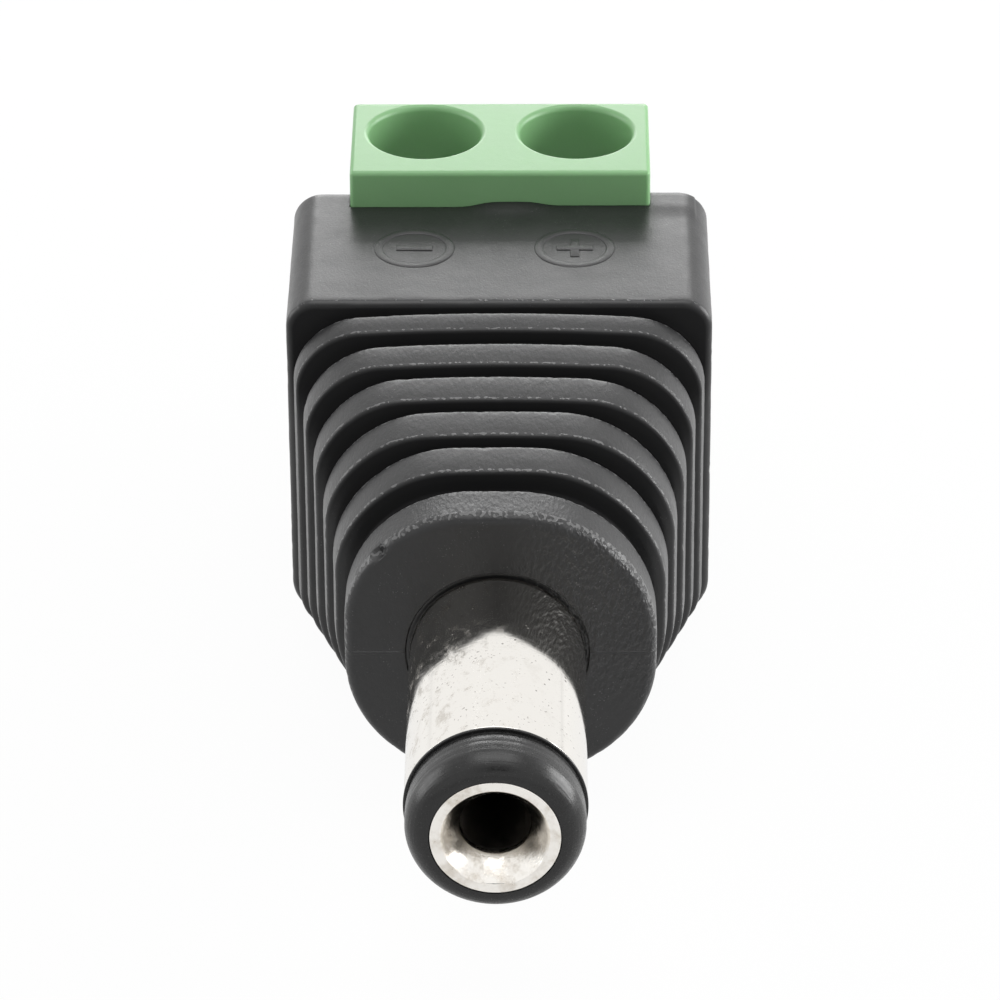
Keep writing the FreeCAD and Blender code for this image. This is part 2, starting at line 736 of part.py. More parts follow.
def make_clamp_screw(side):
    """A slotted screw, held in its well, whose thread carries the cage."""
    label = f"clamp_screw_{side}"
    screw = new_body(label, x=f"{SIDES[side]} * places.pole", y="places.screw_place", z="places.head_seat")
    thread, head = "sizes.thread_diameter / 2", "sizes.head_diameter / 2"
    foot = "-(places.head_seat - places.nut_bottom)"
    half = sketch_on(screw, "XZ_Plane", f"{label}_half")
    outline(
        half,
        [
            ("0", foot),
            (thread, foot),
            (thread, "0"),
            (head, "0"),
            (head, "sizes.head_height"),
            ("0", "sizes.head_height"),
        ],
    )
    turning = screw.newObject("PartDesign::Revolution", f"{label}_turning")
    turning.Profile = half
    turning.ReferenceAxis = (half, ["V_Axis"])
    turning.Angle = 360
    slot = sketch_on(screw, "XY_Plane", f"{label}_slot_section", "sizes.head_height")
    rectangle(slot, "-sizes.slot_width / 2", "sizes.slot_width / 2", "-sizes.head_diameter", "sizes.head_diameter")
    pocket(screw, f"{label}_slot", slot, "sizes.slot_depth")
    return screw


def make_all():
    """Every separate piece, in the order in which they go together."""
    bars = {side: make_contact_bar(side) for side in SIDES}
    pieces = [make_barrel_sleeve(), make_tip_insulator(), make_centre_contact(), make_rear_insulator()]
    on_shank = ("places.washer_end", "sizes.centre_lug_diameter", "places.shank_radius")
    on_spigot = ("places.flange_end", "sizes.sleeve_lug_diameter", "sizes.spigot_diameter / 2")
    lugs = {"plus": make_lug("centre_lug", "plus", *on_shank), "minus": make_lug("sleeve_lug", "minus", *on_spigot)}
    for side in SIDES:
        wire = make_jumper(side)
        lug_start = "places.wire_start + sizes.lug_solder_start"
        pin_start = "places.pin_tip + sizes.pin_solder_start"
        pieces += [bars[side], lugs[side], wire]
        pieces.append(make_solder(f"lug_solder_{side}", side, lug_start, wire, lugs[side]))
        pieces.append(make_solder(f"pin_solder_{side}", side, pin_start, wire, bars[side]))
    pieces += [make_housing(), make_terminal_block()]
    for side in SIDES:
        pieces += [make_clamp_cage(side), make_clamp_screw(side)]
    return pieces


def check(pieces):
    """Stops where an object failed to build or a piece isn't one whole valid solid."""
    for thing in doc.Objects:
        if "Invalid" in thing.State or "Error" in thing.State:
            raise RuntimeError(f"{thing.Name} failed: {thing.State}")
    for piece in pieces:
        shape = piece.Shape
        if shape.isNull() or not shape.isValid() or len(shape.Solids) != 1:
            raise RuntimeError(f"{piece.Label} isn't one valid solid")


pieces = make_all()
doc.recompute()
check(pieces)
os.makedirs("parts", exist_ok=True)
for piece in pieces:
    piece.Shape.exportStep(f"parts/{piece.Label}.step")
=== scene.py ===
"""The looks of a DC barrel plug that is moulded onto a two-way screw-terminal block.

The pieces are built on the fixed frame of the plug's CAD pieces. Its origin is on the barrel's axis, at the
front face of the nose. The barrel points to -Y and +Z is up. Lengths are in metres, and the patterns in the
finishes are worked out in millimetres.
"""

import json
import math

import bmesh
import bpy
from bpy.props import FloatProperty, FloatVectorProperty, IntProperty, PointerProperty
from bpy.types import Operator, Panel, PropertyGroup
from mathutils import Matrix, Vector, noise


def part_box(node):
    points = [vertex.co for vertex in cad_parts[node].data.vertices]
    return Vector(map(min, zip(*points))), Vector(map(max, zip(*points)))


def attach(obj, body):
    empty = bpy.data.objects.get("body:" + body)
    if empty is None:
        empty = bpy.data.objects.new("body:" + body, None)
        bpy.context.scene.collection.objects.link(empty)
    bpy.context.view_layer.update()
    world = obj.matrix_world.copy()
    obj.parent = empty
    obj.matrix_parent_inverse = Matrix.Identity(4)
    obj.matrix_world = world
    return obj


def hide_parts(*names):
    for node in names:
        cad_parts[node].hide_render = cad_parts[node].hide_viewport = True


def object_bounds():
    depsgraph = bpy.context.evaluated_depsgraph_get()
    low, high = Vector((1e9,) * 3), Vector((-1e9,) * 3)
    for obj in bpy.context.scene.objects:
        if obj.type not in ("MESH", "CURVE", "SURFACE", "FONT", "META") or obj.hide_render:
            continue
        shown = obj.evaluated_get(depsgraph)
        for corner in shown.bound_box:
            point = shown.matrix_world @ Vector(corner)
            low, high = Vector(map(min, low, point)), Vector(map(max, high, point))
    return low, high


bl_info = {
    "name": "DC barrel plug",
    "version": (1, 0, 0),
    "blender": (4, 5, 0),
    "location": "3D View > Sidebar > Barrel Plug",
    "description": "Models and finishes a DC barrel plug with screw terminals",
    "category": "Add Mesh",
}

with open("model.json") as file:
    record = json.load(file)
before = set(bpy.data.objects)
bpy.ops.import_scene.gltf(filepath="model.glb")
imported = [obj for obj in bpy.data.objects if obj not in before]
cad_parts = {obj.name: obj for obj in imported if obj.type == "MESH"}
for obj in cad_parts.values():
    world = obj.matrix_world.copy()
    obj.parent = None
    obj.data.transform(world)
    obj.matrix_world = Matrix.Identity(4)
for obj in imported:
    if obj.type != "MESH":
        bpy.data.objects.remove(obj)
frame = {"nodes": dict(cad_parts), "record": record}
cad_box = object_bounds()

MM = 0.001
SIDES = {"plus": 1, "minus": -1}
BACK = Vector((0, 1, 0))
UP = Vector((0, 0, 1))
LAND_SIZES = ("width", "top", "bottom", "upper_corner", "lower_corner")

SLEEVE_LOW, SLEEVE_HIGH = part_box("barrel_sleeve")
TIP_LOW, TIP_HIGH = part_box("tip_insulator")
CONTACT_LOW, CONTACT_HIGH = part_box("centre_contact")
HOUSING_LOW, HOUSING_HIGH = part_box("housing")
BLOCK_LOW, BLOCK_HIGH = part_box("terminal_block")


# Sizes and colours that a user would change


def length(name, description, default):
    """A length that a user can change, with its default in millimetres."""
    return FloatProperty(
        name=name, description=description, default=default * MM, unit="LENGTH", subtype="DISTANCE"
    )


def colour(name, description, default):
    """A colour that a user can change."""
    return FloatVectorProperty(
        name=name, description=description, default=default, size=3, min=0, max=1, subtype="COLOR"
    )


class HousingSizes(PropertyGroup):
    nose_length: length("Nose length", "Length of the plain nose in front of the ribs", 1.67)
    nose_width: length("Nose width", "Width of the nose", 9.74)
    nose_top: length("Nose top", "Height of the nose above the barrel's axis", 4.92)
    nose_bottom: length("Nose bottom", "Depth of the nose below the barrel's axis", 4.7)
    nose_upper_corner: length("Nose upper corner", "Radius of the nose's upper corners", 4.0)
    nose_lower_corner: length("Nose lower corner", "Radius of the nose's lower corners", 4.3)
    nose_rounding: length("Nose rounding", "Rounding of the nose's front edge", 0.32)
    nose_groove: length("Nose groove", "Gap between the nose and the front rib", 0.79)
    rib_count: IntProperty(name="Ribs", description="Number of grip ribs", default=5, min=2)
    front_rib_length: length("Front rib length", "Length of the front rib's crest", 1.48)
    front_rib_width: length("Front rib width", "Width of the front rib", 10.6)
    front_rib_top: length("Front rib top", "Height of the front rib above the barrel's axis", 5.17)
    front_rib_bottom: length("Front rib bottom", "Depth of the front rib below the barrel's axis", 5.0)
    front_rib_upper_corner: length("Front rib upper corner", "Radius of the front rib's upper corners", 3.8)
    front_rib_lower_corner: length("Front rib lower corner", "Radius of the front rib's lower corners", 4.3)
    rear_rib_length: length("Rear rib length", "Length of the rear rib's crest", 1.05)
    rear_rib_width: length("Rear rib width", "Width of the rear rib", 13.36)
    rear_rib_top: length("Rear rib top", "Height of the rear rib above the barrel's axis", 5.92)
    rear_rib_bottom: length("Rear rib bottom", "Depth of the rear rib below the barrel's axis", 5.7)
    rear_rib_upper_corner: length("Rear rib upper corner", "Radius of the rear rib's upper corners", 2.2)
    rear_rib_lower_corner: length("Rear rib lower corner", "Radius of the rear rib's lower corners", 1.5)
    nose_lean: length("Nose lean", "How much rounder the nose is at its upper right", 0.45)
    rear_lean: length("Rear lean", "How much rounder the rear rib is at its upper right", 0.15)
    nose_shift: length("Nose shift", "How far the nose lies to the right of the barrel's axis", 0.1)
    rib_camber: length("Rib camber", "How far a rib's top would fall from its middle to its sides", 0.3)
    rib_crown: length("Rib crown", "How far a rib's crest falls towards its front", 0.09)
    front_rounding: length("Front rounding", "Rounding of the ribs' front edges", 0.15)
    rear_rounding: length("Rear rounding", "Rounding of the ribs' rear edges", 0.14)
    groove_depth: length("Groove depth", "Depth of the grooves between the ribs", 0.65)
    groove_rounding: length("Groove rounding", "Rounding at the foot of the grooves", 0.1)
    box_groove: length("Box groove", "Gap between the rear rib and the box", 0.44)
    box_start: length("Box start", "Distance from the nose's face to the box", 11.7)
    box_upper_corner: length("Box upper corner", "Radius of the box's upper corners", 1.0)
    box_lower_corner: length("Box lower corner", "Radius of the box's lower corners", 1.4)
    box_front_rounding: length("Box front rounding", "Rounding of the box's front edge", 0.26)
    box_rear_rounding: length("Box rear rounding", "Rounding of the box's rear edge", 0.12)
    hole_radius: length("Hole radius", "Radius of the hole round the barrel's neck", 2.57)
    lip_radius: length("Lip radius", "Radius of the shallow recess round the barrel", 2.86)
    lip_depth: length("Lip depth", "Depth of the shallow recess round the barrel", 0.07)
    unevenness: length("Unevenness", "How far the moulded faces sink", 0.02)
    nick_depth: length("Nick depth", "Depth of the nick in the nose's front edge", 0.42)
    toe_height: length("Toe height", "Height of the moulding's swelling at the block's foot", 0.2)


class MarkSizes(PropertyGroup):
    place: length("Place", "Distance from the nose's face to the polarity signs", 15.45)
    plus_across: length("Plus across", "Distance of the plus sign from the middle", 2.47)
    minus_across: length("Minus across", "Distance of the minus sign from the middle", 2.8)
    radius: length("Radius", "Outer radius of the rings round the signs", 1.33)
    line: length("Line", "Width of the raised lines", 0.3)
    reach: length("Reach", "Half the length of a sign's bar", 0.6)
    rise: length("Rise", "Height of the raised lines", 0.025)


class BlockSizes(PropertyGroup):
    edge: length("Edge", "Rounding of the block's edges", 0.15)
    rim: length("Well rim", "Rounding of the screw wells' rims", 0.2)
    top_depth: length("Top depth", "Depth of the flat top", 5.1)
    slope_drop: length("Slope drop", "Height that the rear slope loses", 2.97)
    well_radius: length("Well radius", "Radius of the screw wells", 1.88)
    well_depth: length("Well depth", "Depth of the screw wells down to the screw heads", 2.1)
    seat_height: length("Seat height", "Height of the screw heads' seats above the barrel's axis", 3.92)
    thread_hole: length("Thread hole", "Radius of the hole under a screw's head", 1.33)
    chamber_top: length("Chamber top", "Height of the cages' chambers above the barrel's axis", 3.42)
    chamber_floor: length("Chamber floor", "Depth of the cages' chambers below the barrel's axis", 2.33)
    turning_gap: length("Turning gap", "Gap round a screw's head", 0.08)
    cage_gap: length("Cage gap", "Gap round a cage", 0.1)
    fit_gap: length("Fit gap", "Gap round a contact bar and between the two mouldings", 0.02)
    port_rim: length("Port rim", "Chamfer round the mouths of the wire ports", 0.25)


class MetalSizes(PropertyGroup):
    barrel_radius: length("Barrel radius", "Outer radius of the barrel", 2.75)
    sleeve_wall: length("Sleeve wall", "Wall of the barrel's sleeve", 0.5)
    neck_radius: length("Neck radius", "Radius of the sleeve's neck in the moulding", 2.55)
    spigot_radius: length("Spigot radius", "Radius of the sleeve's rear spigot", 2.45)
    flange_start: length("Flange start", "Distance from the nose's face to the sleeve's flange", 0.9)
    flange_length: length("Flange length", "Length of the sleeve's flange", 1.0)
    collar_length: length("Collar length", "Length of the tip's collar against the sleeve", 0.1)
    collar_radius: length("Collar radius", "Radius of the tip's collar", 2.77)
    waist_length: length("Waist length", "Length of the groove behind the tip", 0.07)
    waist_radius: length("Waist radius", "Radius in the groove behind the tip", 2.67)
    tip_radius: length("Tip radius", "Largest radius of the insulating tip", 2.71)
    tip_swell: length("Tip swell", "How far the tip swells from its groove to its largest radius", 0.05)
    tip_rounding: length("Tip rounding", "Rounding of the insulating tip's front", 0.78)
    contact_radius: length("Contact radius", "Outer radius of the centre contact's tube", 1.5)
    contact_flange: length("Contact flange", "Radius of the centre contact's flange", 1.96)
    flange_depth: length("Flange depth", "Thickness of the centre contact's flange", 0.6)
    shank_radius: length("Shank radius", "Radius of the centre contact's rear shank", 1.2)
    rivet_radius: length("Rivet radius", "Radius of the centre contact's riveted end", 1.6)
    rivet_length: length("Rivet length", "Length of the centre contact's riveted end", 0.45)
    bore_radius: length("Bore radius", "Radius of the centre contact's bore", 1.05)
    bore_depth: length("Bore depth", "Depth of the centre contact's bore", 9.5)
    countersink_radius: length("Countersink radius", "Outer radius of the bore's countersink", 1.65)
    countersink_depth: length("Countersink depth", "Depth of the bore's countersink", 0.82)


class ScrewSizes(PropertyGroup):
    head_height: length("Head height", "Height of a clamp screw's head", 1.2)
    head_rounding: length("Head rounding", "Rounding of the head's upper edge", 0.2)
    core_radius: length("Core radius", "Radius at the foot of the thread", 1.02)
    crest_radius: length("Crest radius", "Radius at the crest of the thread", 1.25)
    thread_pitch: length("Thread pitch", "Pitch of the clamp screws' threads", 0.45)
    slot_width: length("Slot width", "Width of the clamp screws' slots", 0.6)
    slot_depth: length("Slot depth", "Depth of the clamp screws' slots", 0.6)


class FinishColours(PropertyGroup):
    black: colour("Black moulding", "Colour of the housing", (0.009, 0.009, 0.0095))
    # The scuffed black is partly scuffing and partly painted light: it lightens the crests and tops, where
    # light falls, against the walls that face the camera.
    scuffed: colour("Scuffed black", "Colour of the housing's handled faces", (0.02, 0.02, 0.0205))
    tip: colour("Black tip", "Colour of the insulating tip", (0.008, 0.008, 0.008))
    green: colour("Green moulding", "Colour of the terminal block", (0.2, 0.39, 0.184))
    nickel: colour("Nickel plate", "Colour of the barrel and the centre contact", (0.88, 0.855, 0.81))
    steel: colour("Plated steel", "Colour of the clamp screws and the cages", (0.62, 0.62, 0.6))
    tin: colour("Tin plate", "Colour of the tags, the wires and the contact bars", (0.74, 0.73, 0.7))
    solder: colour("Solder", "Colour of the soldered joints", (0.7, 0.7, 0.69))
    pale: colour("Pale insulator", "Colour of the rear insulator", (0.8, 0.78, 0.7))
    floor: colour("Floor", "Colour of the floor", (0.75, 0.75, 0.75))


class PlugSettings(PropertyGroup):
    housing: PointerProperty(type=HousingSizes)
    marks: PointerProperty(type=MarkSizes)
    block: PointerProperty(type=BlockSizes)
    metal: PointerProperty(type=MetalSizes)
    screws: PointerProperty(type=ScrewSizes)
    colours: PointerProperty(type=FinishColours)


def made_with():
    """The properties that the scene keeps for this part."""
    return bpy.context.scene.barrel_plug


# Finishes


NO_STRETCH, NO_TURN = (1, 1, 1), (0, 0, 0)
# The last colour here is painted shade: a near-black matt laid into the housing's grooves.
PALE_BEADS, PALE_SPECKS, PAINTED_GROOVE_SHADE = (0.17, 0.17, 0.17), (0.2, 0.2, 0.2), (0.022, 0.022, 0.0225)
GREY_SPECKS = (0.14, 0.14, 0.14)
# The last colour here is painted shade: near-black metal for the deep bore of the centre contact.
STAINED_NICKEL, PITTED_NICKEL, PAINTED_BORE_SHADE = (0.5, 0.46, 0.4), (0.2, 0.18, 0.16), (0.06, 0.055, 0.05)
# The second colour here darkens and browns the bottom of the countersink.
WORN_CONTACT, DARK_LOWER_SINK = (0.6, 0.54, 0.46), (0.26, 0.235, 0.2)


class Signal:
    """A socket in a finish. Sums on signals add the nodes that work them out."""

    def __init__(self, finish, socket):
        self.finish = finish
        self.socket = socket

    def math(self, operation, *values):
        return self.finish.node("ShaderNodeMath", {"operation": operation}, dict(enumerate(values)))

    def __add__(self, other):
        return self.math("ADD", self, other)

    __radd__ = __add__

    def __sub__(self, other):
        return self.math("SUBTRACT", self, other)

    def __rsub__(self, other):
        return self.math("SUBTRACT", other, self)

    def __mul__(self, other):
        return self.math("MULTIPLY", self, other)

    __rmul__ = __mul__

    def __abs__(self):
        return self.math("ABSOLUTE", self)

    def root(self):
        return self.math("SQRT", self)

    def most(self, other):
        return self.math("MAXIMUM", self, other)

    def between(self, low, high):
        """0 at low and beyond, 1 at high and beyond, with a soft run between. Low may be the larger."""
        inputs = {"Value": self, "From Min": low, "From Max": high}
        return self.finish.node("ShaderNodeMapRange", {"interpolation_type": "SMOOTHSTEP"}, inputs)


class Shading:
    """A node tree in the making."""

    def __init__(self, tree):
        self.tree = tree
        tree.nodes.clear()

    def node(self, kind, settings=None, inputs=None, output=0):
        """Adds a node: its settings first, and then a value or a link for each socket."""
        node = self.tree.nodes.new(kind)
        for name, value in (settings or {}).items():
            setattr(node, name, value)
        for name, value in (inputs or {}).items():
            self.feed(node.inputs[name], value)
        return Signal(self, node.outputs[output]) if node.outputs else None

    def feed(self, socket, value):
        """Gives a socket a link or a value. A colour has three parts."""
        if isinstance(value, Signal):
            self.tree.links.new(socket, value.socket)
        elif socket.type == "RGBA":
            socket.default_value = (*value[:3], 1)
        else:
            socket.default_value = value

    def seen_by(self, way):
        """1 for this kind of ray: Camera, Glossy or Transmission."""
        return self.node("ShaderNodeLightPath", output=f"Is {way} Ray")


class Finish(Shading):
    """A procedural finish, laid out on the object's own coordinates in millimetres."""

    def __init__(self, name):
        self.material = bpy.data.materials.new(name)
        self.material.use_nodes = True
        super().__init__(self.material.node_tree)
        coordinates = self.node("ShaderNodeTexCoord", output="Object")
        inputs = {0: coordinates, "Scale": 1 / MM}
        self.place = self.node("ShaderNodeVectorMath", {"operation": "SCALE"}, inputs)
        self.x, self.y, self.z = (self.along(axis) for axis in "XYZ")

    def along(self, axis):
        return self.node("ShaderNodeSeparateXYZ", inputs={0: self.place}, output=axis)

    def moved(self, stretch, turn):
        """The coordinates, stretched and turned."""
        if stretch == NO_STRETCH and turn == NO_TURN:
            return self.place
        angles = [math.radians(angle) for angle in turn]
        inputs = {"Vector": self.place, "Scale": stretch, "Rotation": angles}
        return self.node("ShaderNodeMapping", inputs=inputs)

    def noise(self, scale, detail=2.0, roughness=0.5, stretch=NO_STRETCH, turn=NO_TURN):
        """Soft noise from 0 to 1, with about this many swells a millimetre."""
        inputs = {
            "Vector": self.moved(stretch, turn), "Scale": scale, "Detail": detail, "Roughness": roughness,
        }
        return self.node("ShaderNodeTexNoise", inputs=inputs)

    def specks(self, scale, low, high):
        """Scattered specks, where a fine noise rises from low to high."""
        return self.noise(scale, 1, 0.3).between(low, high)

    def cells(self, scale):
        """Distance to scattered points, with about this many a millimetre."""
        return self.node("ShaderNodeTexVoronoi", inputs={"Vector": self.place, "Scale": scale})

    def attribute(self, name):
        return self.node("ShaderNodeAttribute", {"attribute_name": name}, output="Fac")

    def blend(self, share, one, other):
        """A colour between two colours."""
        settings = {"data_type": "RGBA", "blend_type": "MIX", "clamp_factor": True}
        return self.node("ShaderNodeMix", settings, {0: share, 6: one, 7: other}, output=2)

    def bump(self, height, under=None):
        """A normal bent by a height in millimetres, over another normal."""
        inputs = {"Height": height, "Strength": 1.0, "Distance": MM}
        if under:
            inputs["Normal"] = under
        return self.node("ShaderNodeBump", inputs=inputs)

    def surface(self, tint, rough, normal, **constants):
        """A shader from what varies over the piece, and from constants named as its other sockets."""
        inputs = {"Base Color": tint, "Roughness": rough, "Normal": normal}
        inputs |= {name.replace("_", " "): value for name, value in constants.items()}
        return self.node("ShaderNodeBsdfPrincipled", inputs=inputs)

    def matt(self, tint):
        """A shader without any gloss."""
        return self.node("ShaderNodeBsdfDiffuse", inputs={"Color": tint})

    def end(self, shader, other=None, share=None):
        """Ends the finish in a shader, or in a mix of two, and gives back its material."""
        if other:
            shader = self.node("ShaderNodeMixShader", inputs={0: share, 1: shader, 2: other})
        self.node("ShaderNodeOutputMaterial", inputs={"Surface": shader})
        return self.material


def black_moulding():
    """Soft black moulding: a pebbled nose, wrinkles on its face, grained crests and beaded edges, painted
    shade in its grooves, and a lighter black on its tops that is partly scuffing and partly painted light.
    """
    finish = Finish("black_moulding")
    colours = made_with().colours
    wear, scuff, grain = (finish.attribute(name) for name in ("wear", "scuff", "grain"))
    face = finish.y.between(0.25, 0.02)
    fine = finish.noise(16, 3, 0.6, stretch=(1, 0.6, 1))
    cloud = finish.noise(0.5, 4, 0.6)
    pebbles = finish.noise(9, 2, 0.5, stretch=(1, 0.45, 1))
    wrinkles = finish.noise(6, 2, 0.5, stretch=(1, 1, 0.6), turn=(0, 38, 0))
    wrinkled = face * finish.x.between(0.0, 2.8) * finish.z.between(-3.0, 0.5)
    beads = (finish.noise(8, 1, 0.3, stretch=(1, 0.7, 1)) * wear).between(0.43, 0.5)
    specks = finish.specks(21, 0.71, 0.77) * finish.noise(1.1, 2).between(0.45, 0.65)
    seam = face * abs(finish.z).between(0.07, 0.0) * abs(finish.x).between(2.85, 3.1)
    smear = finish.noise(1.6, 4, 0.65, stretch=(1, 0.4, 1)).between(0.45, 0.8)
    # Painted shade: a near-black matt mixed over the marked groove walls and floors, in the upper part of
    # the housing and not on the edge beads.
    soot = finish.attribute("soot") * finish.z.between(1.5, 3.8) * (1 - 0.9 * beads)

    # Scuffing and painted light: the crests, the nose's top and the box's top get a lighter black than the
    # walls that face the camera.
    handled_and_lit = scuff * (0.75 + 0.9 * (cloud - 0.4))
    tint = finish.blend(handled_and_lit, colours.black, colours.scuffed)
    tint = finish.blend(beads * 0.6, tint, PALE_BEADS)
    tint = finish.blend(specks * 0.5, tint, PALE_SPECKS)
    rough = 0.33 + (cloud - 0.5) * 0.1 + (fine - 0.5) * 0.16 + smear * 0.06 + grain * 0.06
    normal = finish.bump(fine * 0.005)
    normal = finish.bump(pebbles * (grain * 0.022 + scuff * 0.003), normal)
    normal = finish.bump(wrinkles * (0.015 * face + 0.12 * wrinkled), normal)
    normal = finish.bump(beads * 0.02 + seam * 0.09, normal)
    return finish.end(finish.surface(tint, rough, normal, IOR=1.5), finish.matt(PAINTED_GROOVE_SHADE), soot)


def black_tip():
    """Turned black plastic with fine rings and streaks."""
    finish = Finish("black_tip")
    fine = finish.noise(22, 3, 0.6)
    rings = finish.noise(11, 3, 0.6, stretch=(0.07, 1, 0.07))
    streaks = finish.noise(3.2, 4, 0.7, stretch=(1, 0.25, 1))
    tint = finish.blend(finish.specks(24, 0.7, 0.77) * 0.4, made_with().colours.tip, GREY_SPECKS)
    rough = 0.28 + (streaks - 0.5) * 0.4 + (fine - 0.5) * 0.1
    normal = finish.bump(fine * 0.002 + rings * 0.014)
    return finish.end(finish.surface(tint, rough, normal, IOR=1.47))


def green_moulding():
    """Satin green plastic, a little translucent at its edges."""
    finish = Finish("green_moulding")
    cloud = finish.noise(0.4, 3, 0.5)
    fine = finish.noise(18, 3, 0.55)
    green = made_with().colours.green
    tint = finish.blend(cloud, green * 0.95, green * 1.06)
    tint = finish.blend(finish.specks(27, 0.71, 0.77) * 0.25, tint, green * 0.5)
    rough = 0.36 + (fine - 0.5) * 0.12 + (cloud - 0.5) * 0.08
    normal = finish.bump(fine * 0.0022 + finish.noise(2.5, 2) * 0.004)
    soft = {"Subsurface_Weight": 0.15, "Subsurface_Radius": (0.45, 1.0, 0.4), "Subsurface_Scale": 0.7 * MM}
    return finish.end(finish.surface(tint, rough, normal, IOR=1.5, **soft))


def nickel_barrel():
    """Bright plate over a turned tube, stained and pitted most on its left side."""
    finish = Finish("nickelled_sleeve")
    worn_side = finish.x.between(1.6, -2.0)
    marks = finish.noise(15, 3, 0.6, stretch=(0.04, 1, 0.04))
    ripple = finish.noise(1.7, 2, 0.5)
    fog = finish.noise(2.6, 5, 0.68)
    stain = finish.noise(1.9, 5, 0.72, stretch=(1, 0.7, 1)).between(0.51, 0.66)
    stain = stain * (0.15 + 0.85 * worn_side)
    pits = finish.cells(3.4).between(0.17, 0.05) * finish.noise(0.9, 2).between(0.46, 0.58)
    dots = finish.specks(11, 0.68, 0.73) * finish.noise(1.4, 2).between(0.5, 0.62)
    tint = finish.blend(stain * 0.6, made_with().colours.nickel, STAINED_NICKEL)
    tint = finish.blend((pits * 0.8).most(dots * 0.6), tint, PITTED_NICKEL)
    rough = 0.065 + (fog - 0.38) * (0.05 + 0.24 * worn_side) + stain * 0.15 + pits * 0.12 + dots * 0.1
    normal = finish.bump(marks * 0.0006 + ripple * 0.0015)
    normal = finish.bump((1 - pits) * 0.003, normal)
    return finish.end(finish.surface(tint, rough, normal, Metallic=1.0))


def nickel_contact():
    """Plate on the machined centre contact, with a mottled, worn countersink and painted shade down its
    bore.
    """
    finish = Finish("nickelled_contact")
    mottle = finish.noise(3.4, 5, 0.7)
    worn = finish.noise(1.7, 4, 0.65).between(0.42, 0.72)
    chatter = finish.noise(14, 2, 0.5, stretch=(1, 0.2, 1))
    tip = CONTACT_LOW.y / MM
    # Painted shade: the bore turns near-black from just inside the countersink down.
    bore = finish.y.between(tip + 0.74, tip + 1.1)
    radius = (finish.x * finish.x + finish.z * finish.z).root()
    darker_lower_sink = radius.between(1.64, 1.5) * finish.z.between(-1.15, -0.6)
    # A darker, browner mottled tone over the lower part of the countersink's outer zone.
    tint = finish.blend(worn * 0.75, made_with().colours.nickel * 1.06, WORN_CONTACT)
    tint = finish.blend(bore, tint, PAINTED_BORE_SHADE)
    tint = finish.blend(darker_lower_sink * (0.3 + 0.7 * mottle), tint, DARK_LOWER_SINK)
    rough = 0.14 + (mottle - 0.45) * 0.3 + worn * 0.1 + bore * 0.3
    normal = finish.bump(mottle * 0.009 + chatter * 0.003)
    return finish.end(finish.surface(tint, rough, normal, Metallic=1.0))


def plain_plate(name, tint, roughness, marks=NO_STRETCH):
    """A dull plated finish with fine drawn marks."""
    finish = Finish(name)
    drawn = finish.noise(14, 3, 0.6, stretch=marks)
    cloud = finish.noise(1.3, 3, 0.6)
    plate = finish.blend(cloud.between(0.35, 0.75), tint, tint * 0.72)
    rough = roughness + (cloud - 0.5) * 0.18 + (drawn - 0.5) * 0.12
    return finish.end(finish.surface(plate, rough, finish.bump(drawn * 0.003), Metallic=1.0))


def pale_insulator():
    """Plain pale moulding."""
    finish = Finish("pale_insulator")
    cloud = finish.noise(0.8, 3, 0.5)
    pale = made_with().colours.pale
    tint = finish.blend(cloud, pale * 0.92, pale)
    normal = finish.bump(finish.noise(16, 2) * 0.0015)
    return finish.end(finish.surface(tint, 0.5 + (cloud - 0.5) * 0.2, normal))


# Shaping


SAME_PLACE = 1e-7
SHARP_ANGLE = math.radians(32)


def object_from(name, bm):
    """Turns a form into an object in the scene, and frees it."""
    mesh = bpy.data.meshes.new(name)
    bm.to_mesh(mesh)
    bm.free()
    made = bpy.data.objects.new(name, mesh)
    bpy.context.scene.collection.objects.link(made)
    return made


def new_piece(name, bm, finish, body="root", replaced=(), cuts=(), added=None):
    """Turns a form into a finished piece that rides on a body, with forms cut out of it and one added."""
    bmesh.ops.remove_doubles(bm, verts=bm.verts, dist=SAME_PLACE)
    bmesh.ops.recalc_face_normals(bm, faces=bm.faces)
    piece = object_from(name, bm)
    piece.data.materials.append(finish)
    for cut in cuts:
        cut_away(piece, cut)
    shade(piece, added)
    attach(piece, body)
    if replaced:
        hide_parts(*replaced)


def shade(piece, added=None):
    """Adds a form to a piece, and shades it smooth apart from its sharp edges."""
    bm = bmesh.new()
    bm.from_mesh(piece.data)
    if added:
        join_into(bm, added)
    for face in bm.faces:
        face.smooth = True
    for edge in bm.edges:
        edge.smooth = edge.is_manifold and edge.calc_face_angle() < SHARP_ANGLE
    bm.to_mesh(piece.data)
    bm.free()
    piece.modifiers.new("even_shading", "WEIGHTED_NORMAL").keep_sharp = True


def cut_away(piece, tool_form):
    """Takes a form out of a piece, for good."""
    bmesh.ops.recalc_face_normals(tool_form, faces=tool_form.faces)
    tool = object_from("cutter", tool_form)
    tool_mesh = tool.data
    modifier = piece.modifiers.new("cut", "BOOLEAN")
    modifier.operation, modifier.solver, modifier.object = "DIFFERENCE", "EXACT", tool
    whole = piece.data
    piece.data = bpy.data.meshes.new_from_object(piece.evaluated_get(bpy.context.evaluated_depsgraph_get()))
    piece.modifiers.clear()
    bpy.data.objects.remove(tool)
    for mesh in (whole, tool_mesh):
        bpy.data.meshes.remove(mesh)


def add_box(bm, low, high):
    """Adds a box between two corners."""
    low, high = Vector(low), Vector(high)
    made = bmesh.ops.create_cube(bm, size=1)
    bmesh.ops.scale(bm, vec=high - low, verts=made["verts"])
    bmesh.ops.translate(bm, vec=(low + high) / 2, verts=made["verts"])
    return made["verts"]


